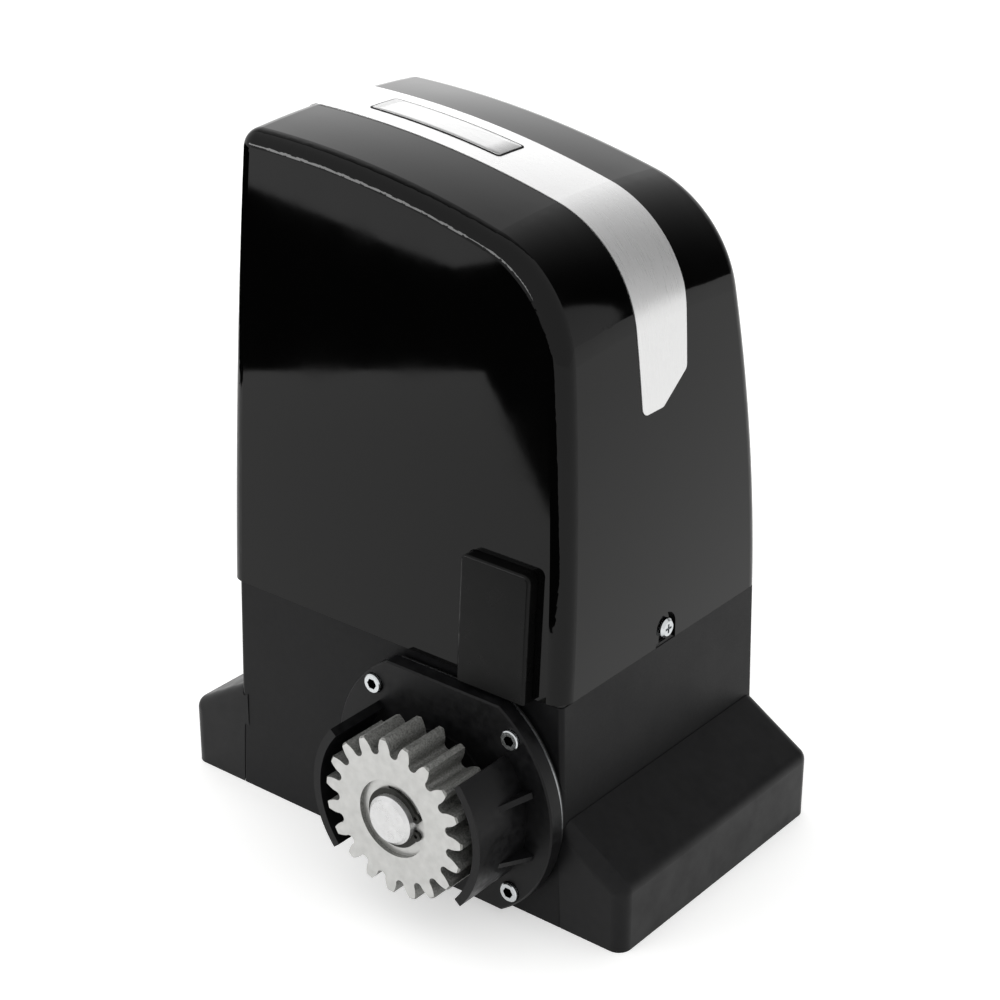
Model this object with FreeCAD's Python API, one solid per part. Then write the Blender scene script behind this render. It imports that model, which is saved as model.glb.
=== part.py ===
import FreeCAD, Part
import math
import os

# Sliding gate motor with its drive pinion, gearbox, motor, electronics and manual release.
# Millimetres. X runs along the gate, -Y faces the gate and its rack, +Z is up. The origin is
# the centre of the base bolt pattern, on the floor plane.

V = FreeCAD.Vector
X_AXIS, Y_AXIS, Z_AXIS = V(1, 0, 0), V(0, 1, 0), V(0, 0, 1)
HALF_TURN = 180.0         # degrees

# ---- fits and clearances
RUNNING_FIT = 0.05        # radial, a shaft or pin that turns in its bore
SEAT_FIT = 0.02           # radial, what is pressed or screwed into its seat
MOVING_GAP = 0.3          # between faces of pieces that move past each other
COVER_GAP = 0.3           # between a moulded cover and what it fits over
SKIN_GAP = 0.1            # between the trim and its recess

# ---- lower body casting
BODY_LENGTH = 210.8       # X at the floor
BODY_DEPTH = 161.5        # Y at the floor
BODY_HEIGHT = 119.2
BODY_DRAFT_X = 3.0        # each end leans in by this much over the height
BODY_DRAFT_Y = 1.0
BODY_CORNER = 2.5
BODY_WALL = 5.0
FLOOR_THICKNESS = 10.0

# ---- mounting feet
FOOT_REACH = 35.0         # from the body's end to the foot's outer end
SLOT_FROM_END = 20.4      # slot centre from the foot's outer end
SLOT_FROM_SIDE = 25.75    # slot centre from the body's front or rear
SLOT_LENGTH = 22.0
SLOT_WIDTH = 11.0
FOOT_PLATE_MARGIN = 5.0   # foot plate inside the body's depth, each side
FOOT_PLATE_CORNER = 12.0
FOOT_COVER_WALL = 2.5
FOOT_SLOPE_LOW = 35.5     # height of the slope at the outer end
FOOT_SLOPE_HIGH = 57.0    # height of the slope at the body
FOOT_EDGE_RADIUS = 7.0

# ---- top cover
COVER_LEFT_OVERHANG = 4.4     # past the body's upper edge
COVER_RIGHT_OVERHANG = 1.45
COVER_SIDE_OVERHANG = 2.35
COVER_HEIGHT = 231.9
COVER_WALL = 3.5
SEAL_THICKNESS = 1.5
SEAL_WIDTH = 4.0
SEAL_INSET = 0.5          # behind the body's outer face
LEFT_CORNER_RADIUS = 10.0
CROWN_RADIUS = 570.0      # long arc along the top
CROWN_SIDE_RADIUS = 700.0 # the top falls towards the long faces by this arc
SHOULDER_RADIUS = 61.6    # arc from the top into the right end
END_RADIUS = 1200.0       # right end face, upright at its lower edge
SIDE_RADIUS = 3300.0      # long faces, seen from the end
SIDE_LEAN = 0.05          # slope of the long faces at the lower edge
COVER_EDGE_RADIUS = 9.0

# ---- silver trim strip
TRIM_FRONT_Y = -16.0
TRIM_REAR_Y = 24.0
TRIM_DROP_RIGHT = 110.6   # its lower end below the cover's top
TRIM_DROP_LEFT = 18.6
TRIM_CHAMFER_Y = 20.0
TRIM_CHAMFER_Z = 13.0
TRIM_CORNER = 4.0
TRIM_DEPTH = 1.2
TRIM_PROUD = 0.4

# ---- cover screws and their U notches
COVER_SCREW_RISE = 8.0    # above the cover's lower edge
NOTCH_WIDTH = 16.0
NOTCH_DEPTH = 2.0
COVER_SCREW_RADIUS = 2.5
COVER_SCREW_HEAD = 5.0
COVER_SCREW_HEAD_HEIGHT = 3.6
COVER_SCREW_LENGTH = 12.0
COVER_SLOT_CLEARANCE = 0.4
LUG_WIDTH = 18.0
LUG_THICKNESS = 6.0
LUG_RISE = 17.0

# ---- drive pinion
PINION_TEETH = 19
PINION_MODULE = 4.0
PINION_FACE = 26.0
PINION_REACH = 36.35      # its front face in front of the flange
PINION_X = 41.25
PINION_RISE = 0.8         # its axis above the middle of the body's height
PINION_RECESS_RADIUS = 20.0
PINION_RECESS_DEPTH = 2.5
PINION_HUB_RADIUS = 17.0
PINION_HUB_LENGTH = 12.0
PINION_ROOT_FACTOR = 1.25
PRESSURE_ANGLE = math.radians(20.0)
TIP_BEVEL = 0.8
PINION_TOOTH_ANGLE = math.radians(96.8)    # middle of one tooth from +X, seen from the front

# ---- output shaft, its key and its circlip
SHAFT_RADIUS = 12.5
SHAFT_NOSE = 3.5          # stands out of the pinion's front face
SHAFT_CHAMFER = 1.8
KEY_WIDTH = 8.0
KEY_HEIGHT = 7.0
KEY_SUNK = 4.0
KEY_LENGTH = 28.0
KEY_SETBACK = 4.0         # behind the pinion's recess
CIRCLIP_THICKNESS = 1.5
CIRCLIP_GROOVE = 0.8
CIRCLIP_WIDTH = 3.6
CIRCLIP_GAP_ANGLE = 40.0
CIRCLIP_LUG_RADIUS = 2.6
CIRCLIP_LUG_HOLE = 1.0

# ---- flange with the finger guards
FLANGE_RADIUS = 66.0
FLANGE_STANDOFF = 12.0    # its front face in front of the body's
FLANGE_THICKNESS = 8.0
FLANGE_TOP_MARGIN = 2.3   # flat upper edge below the body's upper edge
FLANGE_LOW_MARGIN = 4.9   # flat lower edge above the floor
FLANGE_CHAMFER = 0.8
FLANGE_BOSS_RADIUS = 30.0
FLANGE_BOSS_RISE = 1.5
GUARD_INNER_RADIUS = 47.0
GUARD_OUTER_RADIUS = 51.3
GUARD_DEPTH = 34.5
GUARD_HALF_ANGLE = 40.0
GUSSET_ANGLE = 17.5
GUSSET_RADIUS = 58.0
GUSSET_RISE = 19.0
GUSSET_THICKNESS = 3.0
FLANGE_SCREW_OFFSET = 41.9
FLANGE_SCREW_RADIUS = 3.0
FLANGE_SCREW_HEAD = 5.0
FLANGE_SCREW_HEAD_HEIGHT = 6.0
FLANGE_SCREW_HEX = 5.0
FLANGE_SCREW_GRIP = 14.0  # length of thread in the casting
FLANGE_COUNTERBORE = 4.0
SCREW_CLEARANCE = 0.3

# ---- gearbox cover behind the flange
GEARBOX_COVER_PLATE = 3.0
GASKET_THICKNESS = 0.8
GEARBOX_COVER_INSET = 2.0
CHAMBER_ROOF = 5.6        # between the gearbox bore and the chamber's top
SPIGOT_DEPTH = 25.0
OUTPUT_BEARING_RADIUS = 26.0
OUTPUT_BEARING_WIDTH = 15.0
OIL_SEAL_RADIUS = 21.0
OIL_SEAL_WIDTH = 7.0
BEARING_LIP = 3.0

# ---- worm gear
WORM_MODULE = 2.5
WORM_PITCH_RADIUS = 10.0
WHEEL_TEETH = 24
WHEEL_FACE = 16.0
WHEEL_HUB_RADIUS = 19.0
WHEEL_CENTRE_Y = -5.0
WHEEL_POCKET_GAP = 4.0
WORM_THREAD_LENGTH = 44.0
WORM_CORE_OVERLAP = 0.4
MESH_BACKLASH = 0.3
WORM_BEARING_RADIUS = 17.5
WORM_BEARING_BORE = 7.5
WORM_BEARING_WIDTH = 11.0
WORM_BEARING_LOW_Z = 13.0

# ---- gear chamber of the casting
CHAMBER_WALL = 8.0
CHAMBER_DROP = 7.2        # its top below the body's upper edge
CHAMBER_TIE_MARGIN = 9.8  # outside the tie bolts

# ---- motor
MOTOR_RADIUS = 50.0
SHIELD_WALL = 3.5
SHIELD_FLOOR = 6.0
SHIELD_HEIGHT = 28.0
STATOR_LENGTH = 80.0
STATOR_BORE = 30.6
ROTOR_RADIUS = 30.0
ROTOR_LENGTH = 76.0
ROTOR_SHAFT_RADIUS = 8.0
WINDING_INNER = 33.0
WINDING_HEIGHT = 14.0
STATOR_TEETH = 12
STATOR_SLOT_WIDTH = 6.0
STATOR_SLOT_DEPTH = 9.0
TIE_RADIUS = 2.5
TIE_CIRCLE = 54.0
TIE_EAR = 6.0
TIE_HEAD = 4.5
TIE_GRIP = 12.0
FAN_RADIUS = 42.0
FAN_HUB_RADIUS = 12.0
FAN_HEIGHT = 14.0
FAN_BLADES = 7
FAN_PLATE = 2.0

# ---- sensor housing above the pinion
SENSOR_FROM_END = 17.1    # its right side from the cover's right end
SENSOR_WIDTH = 40.0
SENSOR_HEIGHT = 63.3
SENSOR_PROUD = 6.5
SENSOR_DEPTH = 14.5
SENSOR_WALL = 2.0
SENSOR_CORNER = 4.0       # upper corners, seen from the front
SENSOR_EDGE = 1.5         # its outer edges
SENSOR_POST = 3.0
SENSOR_BOARD = 1.6

# ---- tray and electronics
TRAY_THICKNESS = 2.5
TRAY_GAP = 1.0
TRAY_MOTOR_GAP = 1.5
POST_RADIUS = 6.0
BRACKET_THICKNESS = 1.6
BRACKET_FOOT = 18.0
BRACKET_SCREW_GAP = 2.0   # round the end of the left cover screw
BOARD_FRONT_GAP = 33.0    # to the cover's face at its lower edge
BOARD_REAR_GAP = 10.5     # to the capacitor
BOARD_RISE = 9.5
BOARD_HEIGHT = 160.0
BOARD_THICKNESS = 1.6
STANDOFF_HEIGHT = 8.0
STANDOFF_RADIUS = 3.0
STANDOFF_INSET = 6.0
RELAY_SIZE = (16.0, 13.0, 22.0)
RELAY_GAP = 5.0
TERMINAL_PITCH = 5.0
TERMINAL_DEPTH = 10.0
TERMINAL_HEIGHT = 12.0
TERMINAL_GAP = 3.0
HEATSINK_SIZE = (14.0, 50.0, 24.0)
HEATSINK_FINS = 8
TRANSFORMER_Y = 30.0
TRANSFORMER_STACK = 24.0
TRANSFORMER_WIDTH = 50.0
TRANSFORMER_HEIGHT = 42.0
TRANSFORMER_LEG = 8.0
TRANSFORMER_COIL = 5.0
CAPACITOR_X = -62.0
CAPACITOR_WALL_GAP = 8.0
CAPACITOR_RADIUS = 13.5
CAPACITOR_HEIGHT = 80.0
CLIP_THICKNESS = 1.5
CLIP_HEIGHT = 14.0

# ---- cable entry
CABLE_Y = 0.0
CABLE_HOLE_RADIUS = 13.0
CABLE_BORE_RADIUS = 9.0
GROMMET_LIP = 3.0
GROMMET_LIP_HEIGHT = 2.5

# ---- manual release on the rear face
LEVER_LENGTH = 70.0
LEVER_HEIGHT = 30.0
LEVER_THICKNESS = 7.8
LEVER_SUNK = 0.4          # behind the rear face
HINGE_SETBACK = 12.8      # hinge axis behind the lever's face
HINGE_PIN_RADIUS = 3.0
POCKET_GAP = 1.5
RELEASE_WALL = 8.0
YOKE_GAP = 12.0
CAM_RADIUS = 7.0
CAM_OFFSET = 3.0
CAM_WIDTH = 10.0
PLUNGER_RADIUS = 5.0
LOCK_RADIUS = 8.5
LOCK_FROM_END = 15.0
LOCK_PROUD = 0.6
LOCK_TAIL = 4.0
LATCH_LENGTH = 16.0
LATCH_WIDTH = 5.0
LATCH_THICKNESS = 3.0
KEY_SLOT = (1.6, 9.0, 3.0)
GRIP_RADIUS = 9.0
GRIP_DEPTH = 3.0

# ---- worked out from the above
BODY_FRONT = -BODY_DEPTH / 2
BODY_REAR = BODY_DEPTH / 2
BASE_LENGTH = BODY_LENGTH + 2 * FOOT_REACH
SLOT_PITCH_X = BASE_LENGTH - 2 * SLOT_FROM_END
SLOT_PITCH_Y = BODY_DEPTH - 2 * SLOT_FROM_SIDE
COVER_BOTTOM = BODY_HEIGHT + SEAL_THICKNESS
COVER_TOP = COVER_BOTTOM + COVER_HEIGHT
COVER_LEFT = BODY_DRAFT_X - BODY_LENGTH / 2 - COVER_LEFT_OVERHANG
COVER_RIGHT = BODY_LENGTH / 2 - BODY_DRAFT_X + COVER_RIGHT_OVERHANG
COVER_DEPTH = BODY_DEPTH + 2 * (COVER_SIDE_OVERHANG - BODY_DRAFT_Y)
COVER_SCREW_Z = COVER_BOTTOM + COVER_SCREW_RISE
TRIM_LOW_Z = COVER_TOP - TRIM_DROP_RIGHT
TRIM_LEFT_Z = COVER_TOP - TRIM_DROP_LEFT
SENSOR_RIGHT = COVER_RIGHT - SENSOR_FROM_END
SENSOR_LEFT = SENSOR_RIGHT - SENSOR_WIDTH
SENSOR_TOP = COVER_BOTTOM + SENSOR_HEIGHT
PINION_Z = BODY_HEIGHT / 2 + PINION_RISE
PINION_PITCH_RADIUS = PINION_MODULE * PINION_TEETH / 2
FLANGE_FRONT_Y = BODY_FRONT - FLANGE_STANDOFF
FLANGE_LOW_Z = FLANGE_LOW_MARGIN
FLANGE_TOP_Z = BODY_HEIGHT - FLANGE_TOP_MARGIN
GUARD_FRONT_Y = FLANGE_FRONT_Y - GUARD_DEPTH
PINION_FRONT_Y = FLANGE_FRONT_Y - PINION_REACH
PINION_BACK_Y = PINION_FRONT_Y + PINION_FACE
FLANGE_BACK_Y = FLANGE_FRONT_Y + FLANGE_THICKNESS
PAD_Y = FLANGE_BACK_Y + GEARBOX_COVER_PLATE + GASKET_THICKNESS
WORM_LEAD = math.pi * WORM_MODULE
WHEEL_PITCH_RADIUS = WORM_MODULE * WHEEL_TEETH / 2
WHEEL_TIP_RADIUS = WHEEL_PITCH_RADIUS + WORM_MODULE
WHEEL_BACK_Y = WHEEL_CENTRE_Y + WHEEL_FACE / 2
POCKET_RADIUS = WHEEL_TIP_RADIUS + WHEEL_POCKET_GAP
POCKET_BACK_Y = WHEEL_BACK_Y + WHEEL_POCKET_GAP
WORM_X = PINION_X - WHEEL_PITCH_RADIUS - WORM_PITCH_RADIUS
WORM_Y = WHEEL_CENTRE_Y
TIE_STEP = TIE_CIRCLE / math.sqrt(2)
CHAMBER_TOP = BODY_HEIGHT - CHAMBER_DROP
CHAMBER_LEFT = WORM_X - TIE_STEP - CHAMBER_TIE_MARGIN
CHAMBER_REAR = WORM_Y + TIE_STEP + CHAMBER_TIE_MARGIN
GEARBOX_BORE_RADIUS = CHAMBER_TOP - PINION_Z - CHAMBER_ROOF
WORM_ROOT_RADIUS = WORM_PITCH_RADIUS - PINION_ROOT_FACTOR * WORM_MODULE
WORM_TIP_RADIUS = WORM_PITCH_RADIUS + WORM_MODULE
SHAFT_END_Y = POCKET_BACK_Y + OUTPUT_BEARING_WIDTH
SPIGOT_BACK_Y = PAD_Y + SPIGOT_DEPTH
FRONT_BEARING_Y = SPIGOT_BACK_Y - BEARING_LIP - OUTPUT_BEARING_WIDTH
STATOR_Z = CHAMBER_TOP + SHIELD_HEIGHT
STATOR_END_Z = STATOR_Z + STATOR_LENGTH
MOTOR_TOP_Z = STATOR_END_Z + SHIELD_HEIGHT
TOP_BEARING_Z = MOTOR_TOP_Z - SHIELD_WALL - WORM_BEARING_WIDTH
MIDDLE_BEARING_Z = CHAMBER_TOP - SHIELD_WALL - WORM_BEARING_WIDTH
TRAY_TOP = CHAMBER_TOP + TRAY_THICKNESS
CAPACITOR_Y = COVER_DEPTH / 2 - COVER_WALL - CAPACITOR_RADIUS - CAPACITOR_WALL_GAP
BOARD_FRONT_Y = BOARD_FRONT_GAP - COVER_DEPTH / 2
BOARD_REAR_Y = CAPACITOR_Y - CAPACITOR_RADIUS - BOARD_REAR_GAP
BOARD_LOW_Z = TRAY_TOP + BOARD_RISE
BOARD_TOP_Z = BOARD_LOW_Z + BOARD_HEIGHT
BOARD_STACK = BRACKET_THICKNESS + STANDOFF_HEIGHT + BOARD_THICKNESS + RELAY_SIZE[0]
BRACKET_X = (WORM_X - MOTOR_RADIUS + COVER_LEFT + COVER_WALL - BOARD_STACK) / 2
TRANSFORMER_X = (WORM_X + MOTOR_RADIUS + COVER_RIGHT - COVER_WALL) / 2
CABLE_X = (CHAMBER_LEFT + BODY_WALL - BODY_LENGTH / 2) / 2
LEVER_FACE_Y = BODY_REAR - BODY_DRAFT_Y - LEVER_SUNK + BODY_DRAFT_Y / 2
HINGE_Y = LEVER_FACE_Y - HINGE_SETBACK
LEVER_BACK_Y = LEVER_FACE_Y - LEVER_THICKNESS
LEVER_LOW_Z = PINION_Z - LEVER_HEIGHT / 2
LOCK_X = PINION_X - LEVER_LENGTH + LOCK_FROM_END
CAM_STEP = CAM_OFFSET / math.sqrt(2)
CAM_REST_Y = HINGE_Y - CAM_RADIUS - CAM_STEP


# ------------------------------------------------------------------ small builders

def box(x0, x1, y0, y1, z0, z1):
    return Part.makeBox(x1 - x0, y1 - y0, z1 - z0, V(x0, y0, z0))


def rod_x(radius, x0, x1, y, z):
    return Part.makeCylinder(radius, x1 - x0, V(x0, y, z), X_AXIS)


def rod_y(radius, y0, y1, x=PINION_X, z=PINION_Z):
    return Part.makeCylinder(radius, y1 - y0, V(x, y0, z), Y_AXIS)


def rod_z(radius, z0, z1, x, y):
    return Part.makeCylinder(radius, z1 - z0, V(x, y, z0), Z_AXIS)


def tube_y(outer, inner, y0, y1, x=PINION_X, z=PINION_Z):
    return rod_y(outer, y0, y1, x, z).cut(rod_y(inner, y0 - 1, y1 + 1, x, z))


def tube_z(outer, inner, z0, z1, x, y):
    return rod_z(outer, z0, z1, x, y).cut(rod_z(inner, z0 - 1, z1 + 1, x, y))


def join(shapes):
    whole = shapes[0]
    for shape in shapes[1:]:
        whole = whole.fuse(shape)
    return whole.removeSplitter()


def group(shapes):
    return Part.makeCompound(shapes)


def round_edges(shape, radius, wanted):
    edges = [edge for edge in shape.Edges if wanted(edge.BoundBox)]
    return shape.makeFillet(radius, edges)


def upright(bounds):
    return bounds.XLength < 1e-3 and bounds.YLength < 1e-3


def arc(start, middle, end):
    return Part.Arc(start, middle, end).toShape()


def rounded_rectangle(half_x, half_y, radius, z):
    """Level face, centred on the origin, with rounded corners."""
    thin = box(-half_x, half_x, -half_y, half_y, z, z + 1)
    rounded = round_edges(thin, radius, upright)
    return min(rounded.Faces, key=lambda face: face.CenterOfMass.z)


def turned(shape, degrees, axis, x=PINION_X, y=0.0, z=PINION_Z):
    copy = shape.copy()
    copy.rotate(V(x, y, z), axis, degrees)
    return copy


def screw_y(x, z, under_head, length, radius, head, head_height, hex_size):
    """Socket head screw along Y, its head towards -Y."""
    shank = rod_y(radius, under_head, under_head + length, x, z)
    top = under_head - head_height
    cap = Part.makeCylinder(head, head_height, V(x, top, z), Y_AXIS)
    cap = cap.makeChamfer(0.5, [e for e in cap.Edges if e.BoundBox.YMax < top + 1e-3])
    socket = prism_y(x, z, top, top + head_height / 2, hex_size)
    return join([shank, cap]).cut(socket)


def prism_y(x, z, y0, y1, across_flats):
    points = []
    for step in range(7):
        angle = math.radians(60 * step)
        reach = across_flats / math.sqrt(3)
        points.append(V(x + reach * math.cos(angle), y0, z + reach * math.sin(angle)))
    return Part.Face(Part.makePolygon(points)).extrude(V(0, y1 - y0, 0))


# ------------------------------------------------------------------ gear teeth

def involute_point(base_radius, radius, half_tooth, side, centre_angle):
    """Point of a tooth flank at the given radius, as an angle and radius about the axis."""
    roll = math.acos(min(1.0, base_radius / radius))
    offset = half_tooth - (math.tan(roll) - roll)
    return centre_angle + side * offset, radius


def gear_outline(teeth, module, root_radius, backlash, first_angle, y):
    """Closed wire of an involute gear about the pinion axis, in a plane square to Y.
    Flanks run as arcs through three involute points, tips and roots as arcs."""
    pitch_radius = module * teeth / 2
    tip_radius = pitch_radius + module
    base_radius = pitch_radius * math.cos(PRESSURE_ANGLE)
    foot_radius = max(base_radius, root_radius + 0.2 * module)
    involute = math.tan(PRESSURE_ANGLE) - PRESSURE_ANGLE
    half_tooth = (math.pi * module - 2 * backlash) / 4 / pitch_radius + involute
    pitch_angle = 2 * math.pi / teeth

    def place(polar):
        angle, radius = polar
        return V(PINION_X + radius * math.cos(angle), y, PINION_Z + radius * math.sin(angle))

    edges = []
    for index in range(teeth):
        centre = first_angle + index * pitch_angle
        middle_radius = (foot_radius + tip_radius) / 2
        rise = [place(involute_point(base_radius, r, half_tooth, -1, centre))
                for r in (foot_radius, middle_radius, tip_radius)]
        fall = [place(involute_point(base_radius, r, half_tooth, 1, centre))
                for r in (tip_radius, middle_radius, foot_radius)]
        foot_angle = involute_point(base_radius, foot_radius, half_tooth, 1, centre)[0]
        next_angle = involute_point(base_radius, foot_radius, half_tooth, -1,
                                    centre + pitch_angle)[0]
        gap_middle = place(((foot_angle + next_angle) / 2, root_radius))
        edges.append(arc(*rise))
        edges.append(arc(rise[-1], place((centre, tip_radius)), fall[0]))
        edges.append(arc(*fall))
        edges.append(arc(fall[-1], gap_middle, place((next_angle, foot_radius))))
    return Part.Wire(edges)


# ------------------------------------------------------------------ lower body

def body_half(z, grow=0.0):
    """Half length and half depth of the drafted body at a height."""
    lean = z / BODY_HEIGHT
    return (BODY_LENGTH / 2 - BODY_DRAFT_X * lean + grow,
            BODY_DEPTH / 2 - BODY_DRAFT_Y * lean + grow)


def body_block(z0, z1, grow=0.0):
    """Drafted block between two heights: two tapered prisms that cross, with round corners."""
    low_x, low_y = body_half(z0, grow)
    high_x, high_y = body_half(z1, grow)

    def prism(low, high, place, along):
        points = [place(-low, z0), place(low, z0), place(high, z1), place(-high, z1)]
        face = Part.Face(Part.makePolygon(points + points[:1]))
        face.translate(along * -0.5)
        return face.extrude(along)

    wide = prism(low_x, high_x, lambda x, z: V(x, 0, z), V(0, 4 * BODY_DEPTH, 0))
    deep = prism(low_y, high_y, lambda y, z: V(0, y, z), V(4 * BODY_LENGTH, 0, 0))
    block = wide.common(deep)
    return round_edges(block, max(BODY_CORNER + grow, 1.0), lambda b: b.ZLength > z1 - z0 - 1e-3)


def foot_plate():
    reach = BASE_LENGTH / 2 - FOOT_COVER_WALL - COVER_GAP
    half_y = BODY_DEPTH / 2 - FOOT_PLATE_MARGIN
    plate = box(-reach, reach, -half_y, half_y, 0, FLOOR_THICKNESS)
    return round_edges(plate, FOOT_PLATE_CORNER, upright)


def foot_slot(x, y):
    straight = (SLOT_LENGTH - SLOT_WIDTH) / 2
    radius = SLOT_WIDTH / 2
    low, high = -1, FLOOR_THICKNESS + 1
    middle = box(x - straight, x + straight, y - radius, y + radius, low, high)
    return join([middle, rod_z(radius, low, high, x - straight, y),
                 rod_z(radius, low, high, x + straight, y)])


def release_pocket():
    """Room for the lever, its hub, its lock and its plunger in the rear wall."""
    low = LEVER_LOW_Z - POCKET_GAP
    high = low + LEVER_HEIGHT + 2 * POCKET_GAP
    outside = BODY_REAR + 5
    hub = HINGE_SETBACK + POCKET_GAP / 2
    swing = box(PINION_X - LEVER_LENGTH - POCKET_GAP, PINION_X + hub,
                LEVER_BACK_Y - MOVING_GAP, outside, low, high)
    throat = box(PINION_X - hub, PINION_X + hub, HINGE_Y, outside, low, high)
    tail_y = LEVER_BACK_Y - LOCK_TAIL - LATCH_THICKNESS - 2 * POCKET_GAP
    lock = rod_y(LOCK_RADIUS + 2 * POCKET_GAP, tail_y, outside, LOCK_X, PINION_Z)
    pin_reach = LEVER_HEIGHT / 2 + RELEASE_WALL
    pin = rod_z(HINGE_PIN_RADIUS + RUNNING_FIT, PINION_Z - pin_reach + 2,
                PINION_Z + pin_reach + POCKET_GAP, PINION_X, HINGE_Y)
    bore = rod_y(PLUNGER_RADIUS + RUNNING_FIT, SHAFT_END_Y, HINGE_Y)
    return join([swing, throat, rod_z(hub, low, high, PINION_X, HINGE_Y), lock, pin, bore])


def release_block():
    reach = LEVER_HEIGHT / 2 + POCKET_GAP + RELEASE_WALL
    return box(PINION_X - LEVER_LENGTH - POCKET_GAP - RELEASE_WALL,
               PINION_X + HINGE_SETBACK + RELEASE_WALL,
               HINGE_Y - HINGE_SETBACK - RELEASE_WALL, BODY_REAR - BODY_DRAFT_Y - 0.5,
               PINION_Z - reach, PINION_Z + reach)


def gear_chamber():
    right = PINION_X + GEARBOX_BORE_RADIUS + CHAMBER_WALL
    block = box(CHAMBER_LEFT, right, BODY_FRONT + BODY_WALL - 1, CHAMBER_REAR,
                FLOOR_THICKNESS - 1, CHAMBER_TOP)
    return block.common(body_block(0, BODY_HEIGHT))


def gear_chamber_hollow():
    front = rod_y(GEARBOX_BORE_RADIUS, PAD_Y - 5, WHEEL_CENTRE_Y - WHEEL_FACE / 2 - 1)
    wheel = rod_y(POCKET_RADIUS, WHEEL_CENTRE_Y - WHEEL_FACE, POCKET_BACK_Y)
    bearing = rod_y(OUTPUT_BEARING_RADIUS + SEAT_FIT, POCKET_BACK_Y - 1, SHAFT_END_Y)
    worm = rod_z(WORM_BEARING_RADIUS + SEAT_FIT, WORM_BEARING_LOW_Z, CHAMBER_TOP + 1,
                 WORM_X, WORM_Y)
    return join([front, wheel, bearing, worm])


def cover_lug(side):
    """Tab that rises inside the cover's end wall and takes the cover screw."""
    inner = cover_end_x(side, COVER_WALL + COVER_GAP)
    ends = sorted((inner, inner - side * LUG_THICKNESS))
    top = BODY_HEIGHT + LUG_RISE
    lug = box(ends[0], ends[1], -LUG_WIDTH / 2, LUG_WIDTH / 2, BODY_HEIGHT - 4 * LUG_THICKNESS,
              top)
    return round_edges(lug, LUG_THICKNESS / 2,
                       lambda b: b.ZMin > top - 1e-3 and b.YLength < 1e-3)


def flange_screw_places():
    step = FLANGE_SCREW_OFFSET
    return [(PINION_X + a * step, PINION_Z + b * step) for a in (-1, 1) for b in (-1, 1)]


def tie_places():
    return [(WORM_X + a * TIE_STEP, WORM_Y + b * TIE_STEP) for a in (-1, 1) for b in (-1, 1)]


def tray_posts():
    half_x, half_y = body_half(CHAMBER_TOP, -BODY_WALL - 2 * POST_RADIUS)
    places = [(-half_x, -half_y), (-half_x, half_y), (half_x, half_y)]
    return [rod_z(POST_RADIUS, FLOOR_THICKNESS - 1, CHAMBER_TOP, x, y) for x, y in places]


def base_casting():
    shell = body_block(0, BODY_HEIGHT).cut(body_block(FLOOR_THICKNESS, BODY_HEIGHT + 1, -BODY_WALL))
    pad = flange_disc(FLANGE_RADIUS - GEARBOX_COVER_INSET, PAD_Y, BODY_FRONT + BODY_WALL,
                      GEARBOX_COVER_INSET).common(body_block(0, BODY_HEIGHT, BODY_FRONT - PAD_Y))
    casting = join([shell, foot_plate(), gear_chamber(), pad, release_block()]
                   + [cover_lug(side) for side in (-1, 1)] + tray_posts())
    casting = casting.cut(gear_chamber_hollow()).cut(release_pocket())
    for x in (-SLOT_PITCH_X / 2, SLOT_PITCH_X / 2):
        for y in (-SLOT_PITCH_Y / 2, SLOT_PITCH_Y / 2):
            casting = casting.cut(foot_slot(x, y))
    for x, z in flange_screw_places():
        casting = casting.cut(rod_y(FLANGE_SCREW_RADIUS + SEAT_FIT, PAD_Y - 1,
                                    PAD_Y + FLANGE_SCREW_GRIP + 2, x, z))
    for x, y in tie_places():
        casting = casting.cut(rod_z(TIE_RADIUS + SEAT_FIT, CHAMBER_TOP - TIE_GRIP - 2,
                                    CHAMBER_TOP + 1, x, y))
    for side in (-1, 1):
        casting = casting.cut(cover_screw_hole(side))
    return casting.cut(rod_z(CABLE_HOLE_RADIUS, -1, FLOOR_THICKNESS + 1, CABLE_X, CABLE_Y))


def foot_block(inset):
    """Sloped block of the right foot, its flat end towards the body."""
    low_x = BODY_LENGTH / 2 - 2 * BODY_DRAFT_X
    high_x = BASE_LENGTH / 2 - inset
    slope = (FOOT_SLOPE_HIGH - FOOT_SLOPE_LOW) / (BASE_LENGTH / 2 - BODY_LENGTH / 2)
    drop = inset * math.sqrt(1 + slope * slope)

    def slope_z(x):
        return FOOT_SLOPE_HIGH - (x - BODY_LENGTH / 2) * slope - drop

    y0 = BODY_FRONT + inset
    foot = 0 if inset == 0 else -1
    points = [V(low_x, y0, foot), V(high_x, y0, foot), V(high_x, y0, slope_z(high_x)),
              V(low_x, y0, slope_z(low_x))]
    block = Part.Face(Part.makePolygon(points + points[:1])).extrude(V(0, -2 * y0, 0))

    def outer_edge(b):
        ridge = b.XMin > high_x - 1e-3 and b.ZMin > foot + 1e-3
        corner = b.XMin > high_x - 1e-3 and b.YLength < 1e-3
        side = b.YLength < 1e-3 and b.XLength > 1 and b.ZMax > slope_z(high_x) + 1
        return ridge or corner or side

    return round_edges(block, FOOT_EDGE_RADIUS - inset, outer_edge)


def foot_cover():
    shell = foot_block(0).cut(foot_block(FOOT_COVER_WALL))
    return shell.cut(body_block(-1, BODY_HEIGHT, COVER_GAP))


def mirrored_x(shape):
    return shape.mirror(V(0, 0, 0), X_AXIS)


# ------------------------------------------------------------------ top cover

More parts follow.
